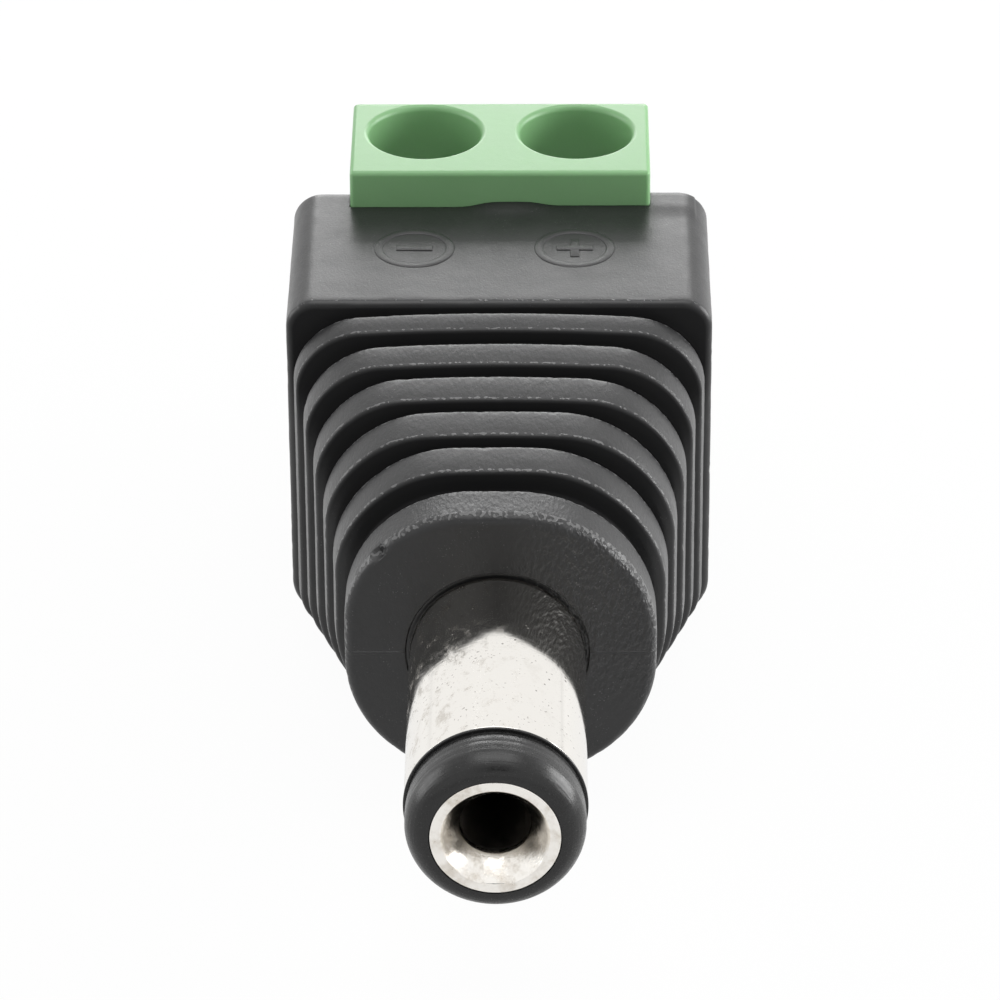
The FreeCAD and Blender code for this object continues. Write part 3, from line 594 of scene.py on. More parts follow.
def box_form(low, high):
    """A form that is one box."""
    bm = bmesh.new()
    add_box(bm, low, high)
    return bm


def turned_form(profile, axis=BACK, at=(0, 0, 0), segments=128):
    """A form turned from a closed profile of (radius, distance along the axis) corners."""
    bm = bmesh.new()
    at = Vector(at)
    across = Vector((1, 0, 0))
    verts = [bm.verts.new(at + across * radius + axis * along) for radius, along in profile]
    edges = [bm.edges.new(pair) for pair in zip(verts, verts[1:] + verts[:1])]
    bmesh.ops.spin(
        bm, geom=verts + edges, cent=at, axis=axis, angle=math.tau, steps=segments, use_merge=True,
        use_duplicate=False,
    )
    bmesh.ops.remove_doubles(bm, verts=bm.verts, dist=SAME_PLACE)
    bmesh.ops.dissolve_degenerate(bm, edges=bm.edges, dist=SAME_PLACE)
    return bm


def bevel(bm, edges, rounding, segments):
    """Rounds edges of a form."""
    bmesh.ops.bevel(
        bm, geom=edges, offset=rounding, offset_type="OFFSET", segments=segments, profile=0.5,
        affect="EDGES", material=-1, clamp_overlap=True,
    )


def round_rims(bm, rims, axis=BACK, at=(0, 0, 0)):
    """Rounds rims of a turned form. Each is (radius, distance along the axis, rounding, segments)."""
    at = Vector(at)

    def fits(vert, radius, along):
        from_middle = vert.co - at
        distance = from_middle.dot(axis)
        off_axis = (from_middle - axis * distance).length
        return abs(distance - along) < SAME_PLACE and abs(off_axis - radius) < SAME_PLACE

    for radius, along, rounding, segments in rims:
        edges = [edge for edge in bm.edges if all(fits(vert, radius, along) for vert in edge.verts)]
        if not edges:
            raise RuntimeError(f"no rim at radius {radius} and {along}")
        bevel(bm, edges, rounding, segments)


def join_into(bm, other):
    """Adds a form to another and frees it."""
    mesh = bpy.data.meshes.new("joined")
    other.to_mesh(mesh)
    other.free()
    bm.from_mesh(mesh)
    bpy.data.meshes.remove(mesh)


def mark(bm, **marks):
    """Writes marks for the finish on every corner of a form."""
    for name, value in marks.items():
        layer = bm.verts.layers.float.new(name)
        for vert in bm.verts:
            vert[layer] = value


# Housing: the black overmoulding


RING_POINTS = 336
STRAIGHT_SHARE = 0.28
FACE_RINGS, NOSE_RINGS, BOX_RINGS = 22, 12, 34
CREST_SPACING = 0.13 * MM
WALL_SHARE, LIP_EDGE_SHARE = 0.6, 0.4
RIB_GRAIN, CREST_FADE = 0.5, 8
BOX_EDGE_WEAR, BOX_WEAR, BOX_FADE = 0.7, 0.5, 12
FAINT_WEAR = 0.3
WIRE_ROOM_RADIUS = 2 * MM
HOLE_START = 0.88 * MM
INNER_STEPS = (
    (1.62, 4.47), (1.62, 4.02), (2.97, 4.02), (2.97, 2.32), (3.42, 2.32), (3.42, 1.9), (3.32, 1.9),
)
CHANNEL_LOW, CHANNEL_HIGH = Vector((1.72, 1.9, 0.385)) * MM, Vector((3.52, 0, 2.025)) * MM
SEAT_RADIUS, SEAT_DEPTH = 3.6 * MM, 5 * MM
LUMPS = {"broad": 0.42, "small": 1.1, "ripple": 2.7, "chip": 4.3}
RIPPLE, CHIP = 0.005 * MM, 0.06 * MM
NICK_PLACE, NICK_WAY = Vector((-3.78, 0.1, 3.68)) * MM, Vector((0.55, 0.6, -0.58))
NICK_REACH = 0.42 * MM
TOE_START, TOE_RUN, TOE_LOWEST = 1.6 * MM, 0.95 * MM, 5.8 * MM
TOE_MIDDLE, TOE_REACH = 0.35, 1.2
TOE_RIGHT_HEIGHT, TOE_RIGHT_STEEPNESS, TOE_RIGHT_START = 0.25, 6, 1.6
SHIFT_AT_RIBS, RIB_LENGTH_POWER, WEAR_LOST = 0.8, 3, 0.15


class Outline:
    """A rounded outline round the barrel's axis, with its marks for the finish."""

    def __init__(self, along, width, top, bottom, upper_corner, lower_corner, camber=0.0):
        self.along = along
        self.width = width
        self.top = top
        self.bottom = bottom
        self.upper_corner = upper_corner
        self.lower_corner = lower_corner
        self.camber = camber
        self.lean = 0.0
        self.shift = 0.0
        self.circle = 0.0
        self.roundness = 0.0
        self.marks = {}

    def inset(self, depth, along, **marks):
        """The outline moved in by a depth, at another distance along the barrel."""
        top, bottom = self.top - depth, self.bottom - depth
        upper, lower = self.upper_corner - depth, self.lower_corner - depth
        made = Outline(along, self.width - 2 * depth, top, bottom, upper, lower, self.camber)
        made.lean, made.shift, made.marks = self.lean, self.shift, marks
        return made

    def towards(self, other, share, along):
        """An outline on the way from this one to another."""
        made = Outline(along, *(getattr(self, size) for size in LAND_SIZES), self.camber)
        for size in (*LAND_SIZES, "lean", "shift"):
            start = getattr(self, size)
            setattr(made, size, start + (getattr(other, size) - start) * share)
        return made

    def set_askew(self, lean, shift):
        """Makes the moulding rounder at its upper right, and shifts it to the right."""
        self.lean, self.shift = lean, shift
        return self

    def round_to(self, circle, roundness=1.0):
        """Draws the outline in to a circle, wholly or in part."""
        self.circle, self.roundness = circle, roundness
        return self

    def point(self, share):
        """The point at a share of the way round. Outlines of other sizes match point for point."""
        quarter, along = divmod(share * 4, 1)
        reach = self.width / 2
        upper = quarter < 2
        rise, corner = (self.top, self.upper_corner) if upper else (self.bottom, self.lower_corner)
        corner += self.lean if quarter == 0 else 0
        first, second = (reach, rise) if quarter % 2 == 0 else (rise, reach)
        if along < STRAIGHT_SHARE:
            near, far = first, (second - corner) * along / STRAIGHT_SHARE
        elif along > 1 - STRAIGHT_SHARE:
            near, far = (first - corner) * (1 - along) / STRAIGHT_SHARE, second
        else:
            turn = (along - STRAIGHT_SHARE) / (1 - 2 * STRAIGHT_SHARE) * math.pi / 2
            near = first - corner + corner * math.cos(turn)
            far = second - corner + corner * math.sin(turn)
        across, up = ((near, far), (-far, near), (-near, -far), (far, -near))[int(quarter) % 4]
        if up > 0:
            up -= self.camber * (across / reach) ** 2 * up / self.top
        across += self.shift
        if self.circle:
            pull = (self.circle / math.hypot(across, up) - 1) * self.roundness
            across, up = across + across * pull, up + up * pull
        return Vector((across, self.along, up))


def arc_steps(count):
    """Sine and cosine for even steps through a quarter turn, ends included."""
    turns = [step / count * math.pi / 2 for step in range(count + 1)]
    return [(math.sin(turn), math.cos(turn)) for turn in turns]


def land_at(sizes, name, along, camber=0.0):
    """The outline of a land, which is a plain length of the moulding between grooves."""
    return Outline(along, *(getattr(sizes, f"{name}_{size}") for size in LAND_SIZES), camber)


def up_front_wall(land, depth, foot, steps=4, core=None):
    """The outlines from the foot of a groove up the front wall of the land behind it."""
    core = core or land
    outlines = []
    # The groove's foot and front wall are marked for painted shade.
    for sine, cosine in arc_steps(steps):
        outlines.append(core.inset(depth - foot * (1 - cosine), land.along - foot + foot * sine, soot=1.0))
    return [*outlines, land.inset(depth * WALL_SHARE, land.along, soot=1.0)]


def down_rear_wall(land, end, depth, rounding, foot, worn=1.0, grain=1.0):
    """The outlines over a land's rear edge and down its rear wall into the groove behind it."""
    outlines = []
    # Over the rear edge the marks go from the crest's wear, grain and its tone of scuffing and painted
    # light to the painted groove shade, which the wall and the groove's foot keep.
    for sine, cosine in arc_steps(4):
        marks = {"wear": worn * cosine, "scuff": cosine, "grain": grain * cosine, "soot": sine}
        outlines.append(land.inset(rounding * (1 - cosine), end - rounding + rounding * sine, **marks))
    outlines.append(land.inset(depth * WALL_SHARE, end, soot=1.0))
    for sine, cosine in arc_steps(4):
        outlines.append(land.inset(depth - foot + foot * sine, end + foot * (1 - cosine), soot=1.0))
    return outlines


def over_rib(sizes, rib, end, depths, worn):
    """The outlines over a rib: up its front wall, along its crowned crest and down its rear wall."""
    rounding, crown, grain = sizes.front_rounding, sizes.rib_crown, RIB_GRAIN
    outlines = up_front_wall(rib, depths[0], sizes.groove_rounding)
    # Up the front edge the painted groove shade fades out as the crest's wear, grain and its tone of
    # scuffing and painted light fade in.
    for sine, cosine in arc_steps(6):
        marks = {"wear": worn * sine**2, "scuff": sine, "grain": grain * sine, "soot": (1 - sine) ** 0.5}
        along = rib.along + rounding * (1 - cosine)
        outlines.append(rib.inset(crown + rounding * (1 - sine), along, **marks))
    crest = end - rib.along - rounding - sizes.rear_rounding
    count = max(5, round((end - rib.along) / CREST_SPACING))
    # The crest carries wear near its front, grain, and the lighter tone of scuffing and painted light.
    for step in range(1, count):
        share = step / count
        marks = {"wear": worn * max(0.0, 1 - share * CREST_FADE), "scuff": 1.0, "grain": grain}
        outlines.append(rib.inset(crown * (1 - share) ** 2, rib.along + rounding + crest * share, **marks))
    rear = down_rear_wall(rib, end, depths[1], sizes.rear_rounding, sizes.groove_rounding, worn, grain)
    return outlines + rear


def nose_outlines(sizes, nose, rear_depth):
    """The outlines from the hole round the barrel, over the nose's face and along the nose."""
    rounding, rear_round, lip = sizes.nose_rounding, sizes.rear_rounding, sizes.lip_radius
    edge = LIP_EDGE_SHARE * sizes.lip_depth

    def ring(circle, along, **marks):
        return nose.inset(rounding, along, **marks).round_to(circle)

    outlines = [ring(radius * MM, along * MM) for radius, along in INNER_STEPS]
    outlines += [ring(INNER_STEPS[-1][0] * MM, HOLE_START), ring(sizes.hole_radius, HOLE_START)]
    outlines += [ring(sizes.hole_radius, sizes.lip_depth), ring(lip - edge, sizes.lip_depth)]
    for sine, cosine in arc_steps(3):
        outlines.append(ring(lip + edge * (1 - cosine), edge * (1 - sine), wear=FAINT_WEAR * sine))
    for step in range(1, FACE_RINGS):
        outlines.append(nose.inset(rounding, 0.0).round_to(lip + edge, 1 - step / FACE_RINGS))
    # Over the nose's front edge the wear, grain and the lighter tone of scuffing and painted light fade in.
    for sine, cosine in arc_steps(8):
        marks = {"wear": sine, "grain": sine, "scuff": sine}
        outlines.append(nose.inset(rounding * (1 - sine), rounding * (1 - cosine), **marks))
    # The nose's top is grained and has the lighter tone of scuffing and painted light.
    for step in range(1, NOSE_RINGS):
        along = rounding + (sizes.nose_length - rear_round - rounding) * step / NOSE_RINGS
        outlines.append(nose.inset(0, along, grain=1.0, scuff=1.0, wear=max(0.0, 1 - step / 2)))
    return outlines + down_rear_wall(nose, sizes.nose_length, rear_depth, rear_round, sizes.groove_rounding)


def box_outlines(sizes, box, last, depth, end):
    """The outlines over the box, from the groove in front of it to its rear face."""
    front_round, rear_round = sizes.box_front_rounding, sizes.box_rear_rounding
    core = Outline(box.along, box.width, box.top, box.bottom, last.upper_corner, last.lower_corner)
    outlines = up_front_wall(box, depth, sizes.groove_rounding, 3, core)
    # Over the box's front edge the painted groove shade fades out as the wear and the tone of scuffing and
    # painted light fade in.
    for sine, cosine in arc_steps(8):
        along = box.along + front_round * (1 - cosine)
        marks = {"wear": BOX_EDGE_WEAR * sine, "scuff": sine, "soot": 1 - sine}
        outlines.append(box.inset(front_round * (1 - sine), along, **marks))
    # The box's top carries fading wear and the lighter tone of scuffing and painted light.
    for step in range(1, BOX_RINGS):
        share = step / BOX_RINGS
        along = box.along + front_round + (end - box.along - front_round - rear_round) * share
        outlines.append(box.inset(0, along, wear=max(0.0, BOX_WEAR - share * BOX_FADE), scuff=1.0))
    for sine, cosine in arc_steps(5):
        along = end - rear_round + rear_round * sine
        outlines.append(box.inset(rear_round * (1 - cosine), along, wear=FAINT_WEAR * sine, scuff=1.0))
    for share in (0.25, 0.5, 0.75):
        outlines.append(box.inset(rear_round, end).round_to(WIRE_ROOM_RADIUS, share))
    return outlines


def housing_outlines(sizes):
    """Every outline of the housing, from the hole round the barrel to the rear face."""
    nose = land_at(sizes, "nose", 0).set_askew(sizes.nose_lean, sizes.nose_shift)
    first = land_at(sizes, "front_rib", sizes.nose_length + sizes.nose_groove, sizes.rib_camber)
    first.set_askew(sizes.nose_lean, SHIFT_AT_RIBS * sizes.nose_shift)
    last_start = sizes.box_start - sizes.box_groove - sizes.rear_rib_length
    last = land_at(sizes, "rear_rib", last_start, sizes.rib_camber).set_askew(sizes.rear_lean, 0)
    width, top, bottom = HOUSING_HIGH.x - HOUSING_LOW.x, HOUSING_HIGH.z, -HOUSING_LOW.z
    box = Outline(sizes.box_start, width, top, bottom, sizes.box_upper_corner, sizes.box_lower_corner)
    core_start, core_end = sizes.nose_length / 2, sizes.box_start + sizes.box_groove

    def depth_at(land, along):
        """How deep the core lies under a land's side."""
        share = (along - core_start) / (core_end - core_start)
        core_width = nose.width + (last.width - nose.width) * share - 2 * sizes.groove_depth
        return (land.width - core_width) / 2

    outlines = nose_outlines(sizes, nose, depth_at(nose, sizes.nose_length))
    for number in range(sizes.rib_count):
        share = number / (sizes.rib_count - 1)
        start = first.along + (last.along - first.along) * share
        longest, shortest = sizes.front_rib_length, sizes.rear_rib_length
        end = start + longest + (shortest - longest) * share**RIB_LENGTH_POWER
        rib = first.towards(last, share, start)
        depths = (depth_at(rib, start), depth_at(rib, end))
        outlines += over_rib(sizes, rib, end, depths, 1 - WEAR_LOST * share)
    return outlines + box_outlines(sizes, box, last, depth_at(box, sizes.box_start), HOUSING_HIGH.y)


def swept_rings(outlines, points):
    """Extrudes a ring of points through outlines, and closes both ends."""
    bm = bmesh.new()
    share = bm.verts.layers.float.new("share")
    # Marks for the finish: wear, scuffing with painted light, grain, and painted groove shade.
    layers = {name: bm.verts.layers.float.new(name) for name in ("wear", "scuff", "grain", "soot")}
    ring = bmesh.ops.create_circle(bm, segments=points, radius=1)["verts"]
    for vert in ring:
        vert[share] = math.atan2(vert.co.y, vert.co.x) / math.tau % 1
    edges = list(bm.edges)
    bmesh.ops.contextual_create(bm, geom=edges)

    def set_ring(verts, outline):
        for vert in verts:
            vert.co = outline.point(vert[share])
            for name, layer in layers.items():
                vert[layer] = outline.marks.get(name, 0.0)

    set_ring(ring, outlines[0])
    for outline in outlines[1:]:
        made = bmesh.ops.extrude_edge_only(bm, edges=edges)["geom"]
        verts = [part for part in made if isinstance(part, bmesh.types.BMVert)]
        new = set(verts)
        edges = [part for part in made if isinstance(part, bmesh.types.BMEdge) and set(part.verts) <= new]
        set_ring(verts, outline)
    bmesh.ops.contextual_create(bm, geom=edges)
    return bm


def weather(bm, sizes):
    """Lets the moulded faces sink a little and chips the worn edges, but leaves the barrel's seat true."""
    wear = bm.verts.layers.float["wear"]
    bmesh.ops.recalc_face_normals(bm, faces=bm.faces)
    bm.normal_update()
    for vert in bm.verts:
        in_seat = math.hypot(vert.co.x, vert.co.z) < SEAT_RADIUS
        if in_seat and sizes.lip_depth / 2 < vert.co.y < SEAT_DEPTH:
            continue
        where = vert.co / MM
        swell = noise.noise(where * LUMPS["broad"])
        swell += 0.5 * noise.noise(where * LUMPS["small"] + Vector((7, 3, 5)))
        sink = (swell - 1.2) / 2.7 * sizes.unevenness
        ripple = (noise.noise(where * LUMPS["ripple"]) - 1) * RIPPLE
        chip = min(0, noise.noise(where * LUMPS["chip"] + Vector((2, 9, 4))) + 0.2) * CHIP * vert[wear]
        vert.co += vert.normal * (sink + ripple + chip)


def nick_the_nose(bm, sizes):
    """Presses a nick into the nose's front edge."""
    for vert in bm.verts:
        share = (vert.co - NICK_PLACE).length / NICK_REACH
        if share < 1:
            vert.co += NICK_WAY * sizes.nick_depth * (1 - share**2) ** 2


def raise_the_toe(bm, sizes):
    """Swells the moulding's top against the front of the block, most in the middle."""
    for vert in bm.verts:
        before = BLOCK_LOW.y - vert.co.y
        if vert.co.z > TOE_LOWEST and before < TOE_START:
            near = max(0.0, min(1.0, (MM - before) / TOE_RUN)) ** 2
            across = vert.co.x / MM
            middle = math.exp(-(((across - TOE_MIDDLE) / TOE_REACH) ** 4))
            right = TOE_RIGHT_HEIGHT / (1 + math.exp(-TOE_RIGHT_STEEPNESS * (across - TOE_RIGHT_START)))
            vert.co.z += sizes.toe_height * (middle + right) * near


class PLUG_OT_housing(Operator):
    """Models the black overmoulding with its nose, grip ribs and box"""

    bl_idname = "plug.housing"
    bl_label = "Housing"

    def execute(self, context):
        sizes, gap = made_with().housing, made_with().block.fit_gap
        bm = swept_rings(housing_outlines(sizes), RING_POINTS)
        for change in (weather, nick_the_nose, raise_the_toe):
            change(bm, sizes)
        half = (BLOCK_HIGH.x - BLOCK_LOW.x) / 2 + gap
        low = (-half, BLOCK_LOW.y - gap, BLOCK_LOW.z - gap)
        cuts = [box_form(low, (half, HOUSING_HIGH.y + MM, BLOCK_HIGH.z + MM))]
        for side in SIDES.values():
            near, far = sorted((side * CHANNEL_LOW.x, side * CHANNEL_HIGH.x))
            high = (far, BLOCK_LOW.y, CHANNEL_HIGH.z)
            cuts.append(box_form((near, CHANNEL_LOW.y, CHANNEL_LOW.z), high))
        finish = black_moulding()
        new_piece("housing_moulding", bm, finish, replaced=["housing"], cuts=cuts)
        return {"FINISHED"}


MARK_FOOT = -0.1 * MM
BEAD_SHARE, BAR_ROUNDING, SECOND_BAR_RISE = 0.45, 0.8, 0.9
SMALL_TURN = 96


class PLUG_OT_polarity_marks(Operator):
    """Models the raised rings and signs that mark the two poles"""

    bl_idname = "plug.polarity_marks"
    bl_label = "Polarity marks"

    def execute(self, context):
        sizes = made_with().marks
        finish = black_moulding()
        foot = MARK_FOOT
        top = HOUSING_HIGH.z - made_with().housing.unevenness / 2
        across = {"plus": sizes.plus_across, "minus": -sizes.minus_across}
        for name in SIDES:
            at = Vector((across[name], sizes.place, top))
            outer, inner, rise = sizes.radius, sizes.radius - sizes.line, sizes.rise
            soft, steps = BEAD_SHARE * sizes.line, arc_steps(4)
            bead = [(inner, foot), (outer, foot)]
            bead += [(outer - soft * (1 - cosine), rise * sine) for sine, cosine in steps]
            bead += [(inner + soft * (1 - cosine), rise * sine) for sine, cosine in reversed(steps)]
            bm = turned_form(bead, UP, at, SMALL_TURN)
            half = sizes.line / 2
            spans = [(sizes.reach, half, rise)]
            if name == "plus":
                spans.append((half, sizes.reach, SECOND_BAR_RISE * rise))
            for reach, width, height in spans:
                bar = bmesh.new()
                add_box(bar, at + Vector((-reach, -width, foot)), at + Vector((reach, width, height)))
                bevel(bar, list(bar.edges), BAR_ROUNDING * rise, 4)
                join_into(bm, bar)
            # The signs get the lighter tone of the housing's top: scuffing and painted light.
            mark(bm, scuff=1.0)
            new_piece(f"polarity_mark_{name}", bm, finish)
        return {"FINISHED"}


# Terminal block: the green moulding


SEAT_ROUNDING = 0.1 * MM
OVERSHOOT = 0.01 * MM


def block_form(sizes):
    """The block's outside: its side view drawn across its width, with every edge rounded."""
    low, high = BLOCK_LOW, BLOCK_HIGH
    side_view = [
        (low.y, low.z), (high.y, low.z), (high.y, high.z - sizes.slope_drop),
        (low.y + sizes.top_depth, high.z), (low.y, high.z),
    ]
    bm = bmesh.new()
    face = bm.faces.new([bm.verts.new((low.x, along, up)) for along, up in side_view])
    made = bmesh.ops.extrude_face_region(bm, geom=[face])["geom"]
    moved = [part for part in made if isinstance(part, bmesh.types.BMVert)]
    bmesh.ops.translate(bm, vec=(high.x - low.x, 0, 0), verts=moved)
    bevel(bm, list(bm.edges), sizes.edge, 5)
    return bm


def well_form(sizes, name):
    """The room for a screw: its well, the seat of its head and the hole for its thread."""
    screw_low, screw_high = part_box(f"clamp_screw_{name}")
    at = Vector(((screw_low.x + screw_high.x) / 2, (screw_low.y + screw_high.y) / 2, 0))
    top, floor = BLOCK_HIGH.z + 0.002 * MM, BLOCK_HIGH.z - sizes.well_depth
    seat = (screw_high.x - screw_low.x) / 2 + sizes.turning_gap
    well, hole, step = sizes.well_radius, sizes.thread_hole, sizes.seat_height
    outside, bottom = well + MM, step - 2 * MM
    profile = [
        (0, bottom), (hole, bottom), (hole, step), (seat, step), (seat, floor), (well, floor), (well, top),
        (outside, top), (outside, top + MM), (0, top + MM),
    ]
    form = turned_form(profile, UP, at, 128)
    round_rims(form, [(well, top, sizes.rim, 6), (seat, floor, SEAT_ROUNDING, 3)], UP, at)
    return form


def port_mouth_form(sizes, low, high):
    """The flared mouth of a wire port, from its two corners in the rear face."""
    form = bmesh.new()
    flare = sizes.port_rim
    outside = (high.x, BLOCK_HIGH.y + OVERSHOOT, high.z)
    for vert in add_box(form, (low.x, BLOCK_HIGH.y - flare, low.z), outside):
        if vert.co.y > BLOCK_HIGH.y:
            vert.co.x += flare if vert.co.x > (low.x + high.x) / 2 else -flare
            vert.co.z += flare if vert.co.z > (low.z + high.z) / 2 else -flare
    return form


class PLUG_OT_terminal_block(Operator):
    """Models the green terminal block with its screw wells and wire ports"""

    bl_idname = "plug.terminal_block"
    bl_label = "Terminal block"

    def execute(self, context):
        sizes = made_with().block
        floor, roof, gap, fit = -sizes.chamber_floor, sizes.chamber_top, sizes.cage_gap, sizes.fit_gap
        cuts = []
        for name in SIDES:
            cage_low, cage_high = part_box(f"clamp_cage_{name}")
            bar_low, bar_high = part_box(f"contact_bar_{name}")
            left, right, port_top = cage_low.x - gap, cage_high.x + gap, cage_high.z + gap
            cuts.append(well_form(sizes, name))
            cuts.append(box_form((left, cage_low.y - gap, floor), (right, cage_high.y + gap, roof)))
            cuts.append(box_form((left, cage_low.y, floor), (right, BLOCK_HIGH.y + MM, port_top)))
            cuts.append(port_mouth_form(sizes, Vector((left, 0, floor)), Vector((right, 0, port_top))))
            slot_low = (bar_low.x - fit, BLOCK_LOW.y - MM, bar_low.z - fit)
            cuts.append(box_form(slot_low, (bar_high.x + fit, cage_low.y, bar_high.z + fit)))
        name, slot = "terminal_block_moulding", "green_moulding"
        new_piece(name, block_form(sizes), green_moulding(), replaced=["terminal_block"], cuts=cuts)
        return {"FINISHED"}


# Metal pieces and the insulating tip


def make_sleeve(sizes):
    """The nickelled tube, with its neck, its flange and its spigot inside the moulding."""
    front, rear = SLEEVE_LOW.y, SLEEVE_HIGH.y
    outer, flange, bore = sizes.barrel_radius, SLEEVE_HIGH.x, sizes.barrel_radius - sizes.sleeve_wall
    shoulder = -made_with().block.fit_gap
    flange_end = sizes.flange_start + sizes.flange_length
    profile = [
        (bore, front), (outer, front), (outer, shoulder), (sizes.neck_radius, shoulder),
        (sizes.neck_radius, sizes.flange_start), (flange, sizes.flange_start), (flange, flange_end),
        (sizes.spigot_radius, flange_end), (sizes.spigot_radius, rear), (bore, rear),
    ]
    bm = turned_form(profile, segments=192)
    flange_rim = (flange, sizes.flange_start, 0.06 * MM, 2)
    round_rims(bm, [(outer, front, 0.04 * MM, 3), (outer, shoulder, 0.05 * MM, 3), flange_rim])
    new_piece("sleeve_turning", bm, nickel_barrel(), replaced=["barrel_sleeve"])


TIP_STEPS = 12
RIDGE_PLACE, RIDGE_DEPTH, RIDGE_WIDTH = 0.55, 0.02 * MM, 0.05 * MM
SWELL_PEAK, SWELL_POWER = 1.5, 2.2
FRONT_LAND, FRONT_POWER = 0.08 * MM, 0.95


def make_tip(sizes):
    """The insulating tip: a collar, a groove, a swelling body and a liner in the sleeve."""
    gap = made_with().block.fit_gap
    front, tip, liner = SLEEVE_LOW.y, TIP_LOW.y, sizes.barrel_radius - sizes.sleeve_wall - gap
    hole, recess = sizes.contact_radius + gap, sizes.contact_flange + gap
    collar_end = front - sizes.collar_length
    body_start = collar_end - sizes.waist_length
    swell_end = tip + sizes.tip_rounding
    ridge = body_start + RIDGE_PLACE * (swell_end - body_start)
    body = []
    for step in range(TIP_STEPS + 1):
        share = step / TIP_STEPS
        along = body_start + (swell_end - body_start) * share
        turned = RIDGE_DEPTH * math.exp(-(((along - ridge) / RIDGE_WIDTH) ** 2))
        narrower = sizes.tip_swell * abs(1 - SWELL_PEAK * share) ** SWELL_POWER
        body.append((sizes.tip_radius - narrower - turned, along))
    front_edge = []
    for sine, cosine in arc_steps(14):
        drawn_in = (sizes.tip_radius - recess - FRONT_LAND) * (1 - cosine) ** FRONT_POWER
        front_edge.append((sizes.tip_radius - drawn_in, swell_end - sizes.tip_rounding * sine))
    collar, waist = sizes.collar_radius, sizes.waist_radius
    profile = [(hole, TIP_HIGH.y), (liner, TIP_HIGH.y), (liner, front), (collar, front)]
    profile += [(collar, collar_end), (waist, collar_end), (waist, body_start)]
    profile += body + front_edge[1:]
    profile += [(recess, tip), (recess, tip + sizes.flange_depth), (hole, tip + sizes.flange_depth)]
    bm = turned_form(profile, segments=192)
    rims = ((collar, front), (collar, collar_end), (body[0][0], body_start))
    round_rims(bm, [(*rim, 0.03 * MM, 3) for rim in rims])
    new_piece("tip_moulding", bm, black_tip(), replaced=["tip_insulator"])


def make_contact(sizes):
    """The centre contact: a flanged tube with a countersunk bore and a riveted shank."""
    tip, rear = CONTACT_LOW.y, CONTACT_HIGH.y
    flange, tube, bore = sizes.contact_flange, sizes.contact_radius, sizes.bore_radius
    shank, rivet, wide = sizes.shank_radius, sizes.rivet_radius, sizes.countersink_radius
    seat, sink, depth = tip + sizes.flange_depth, tip + sizes.countersink_depth, tip + sizes.bore_depth
    rivet_start = rear - sizes.rivet_length
    profile = [
        (0, depth), (bore, depth), (bore, sink), (wide, tip), (flange, tip), (flange, seat), (tube, seat),
        (tube, TIP_HIGH.y), (shank, TIP_HIGH.y), (shank, rivet_start), (rivet, rivet_start), (rivet, rear),
        (0, rear),
    ]
    bm = turned_form(profile, segments=160)
    front_rims = [(flange, tip, 0.035 * MM, 3), (wide, tip, 0.05 * MM, 3), (bore, sink, 0.07 * MM, 4)]
    round_rims(bm, [*front_rims, (rivet, rear, 0.15 * MM, 3)])
    new_piece("contact_turning", bm, nickel_contact(), replaced=["centre_contact"])


class PLUG_OT_barrel(Operator):
    """Models the barrel's sleeve, its insulating tip and the centre contact"""

    bl_idname = "plug.barrel"
    bl_label = "Barrel"

    def execute(self, context):
        sizes = made_with().metal
        make_sleeve(sizes)
        make_tip(sizes)
        make_contact(sizes)
        return {"FINISHED"}


SLOT_ANGLES = {"plus": 62, "minus": -24}
TURN_STEPS = 36
ROOT_HALF, CREST_HALF, SUNK = 0.2, 0.04, 0.02 * MM


def screw_form(sizes, low, high, at):
    """A screw's head and core."""
    head, neck, core = (high.x - low.x) / 2, high.z - sizes.head_height, sizes.core_radius
    profile = [(0, low.z), (core, low.z), (core, neck), (head, neck), (head, high.z), (0, high.z)]
    bm = turned_form(profile, UP, at, SMALL_TURN)
    lower_rims = [(core, low.z, 0.12 * MM, 2), (head, neck, 0.05 * MM, 2)]
    round_rims(bm, [(head, high.z, sizes.head_rounding, 5), *lower_rims], UP, at)
    return bm


def slot_form(sizes, high, at, angle):
    """A screw's slot, turned to its angle."""
    half, reach, floor = sizes.slot_width / 2, 2 * (high.x - at.x), high.z - sizes.slot_depth
    slot = box_form((at.x - half, at.y - reach, floor), (at.x + half, at.y + reach, high.z + MM))
    turn = Matrix.Rotation(math.radians(angle), 4, "Z")
    bmesh.ops.rotate(slot, cent=at, matrix=turn, verts=slot.verts)
    return slot


def thread_form(sizes, low, high, at):
    """The thread of a screw: a closed tooth wound round its core and sunk into it."""
    crest, pitch = sizes.crest_radius, sizes.thread_pitch
    foot = sizes.core_radius - SUNK
    start = low.z + pitch / 2
    turns = int((high.z - sizes.head_height - pitch / 2 - start) / pitch)
    tooth = [(foot, -ROOT_HALF), (crest, -CREST_HALF), (crest, CREST_HALF), (foot, ROOT_HALF)]
    bm = bmesh.new()
    corners = [at + Vector((radius, 0, start + share * pitch)) for radius, share in tooth]
    face = bm.faces.new([bm.verts.new(corner) for corner in corners])
    bmesh.ops.spin(
        bm, geom=[face], cent=at, axis=UP, dvec=UP * (pitch / TURN_STEPS), angle=math.tau * turns,
        steps=TURN_STEPS * turns, use_merge=False, use_duplicate=False,
    )
    ends = [edge for edge in bm.edges if edge.is_boundary]
    bmesh.ops.holes_fill(bm, edges=ends, sides=len(tooth))
    bmesh.ops.recalc_face_normals(bm, faces=bm.faces)
    return bm


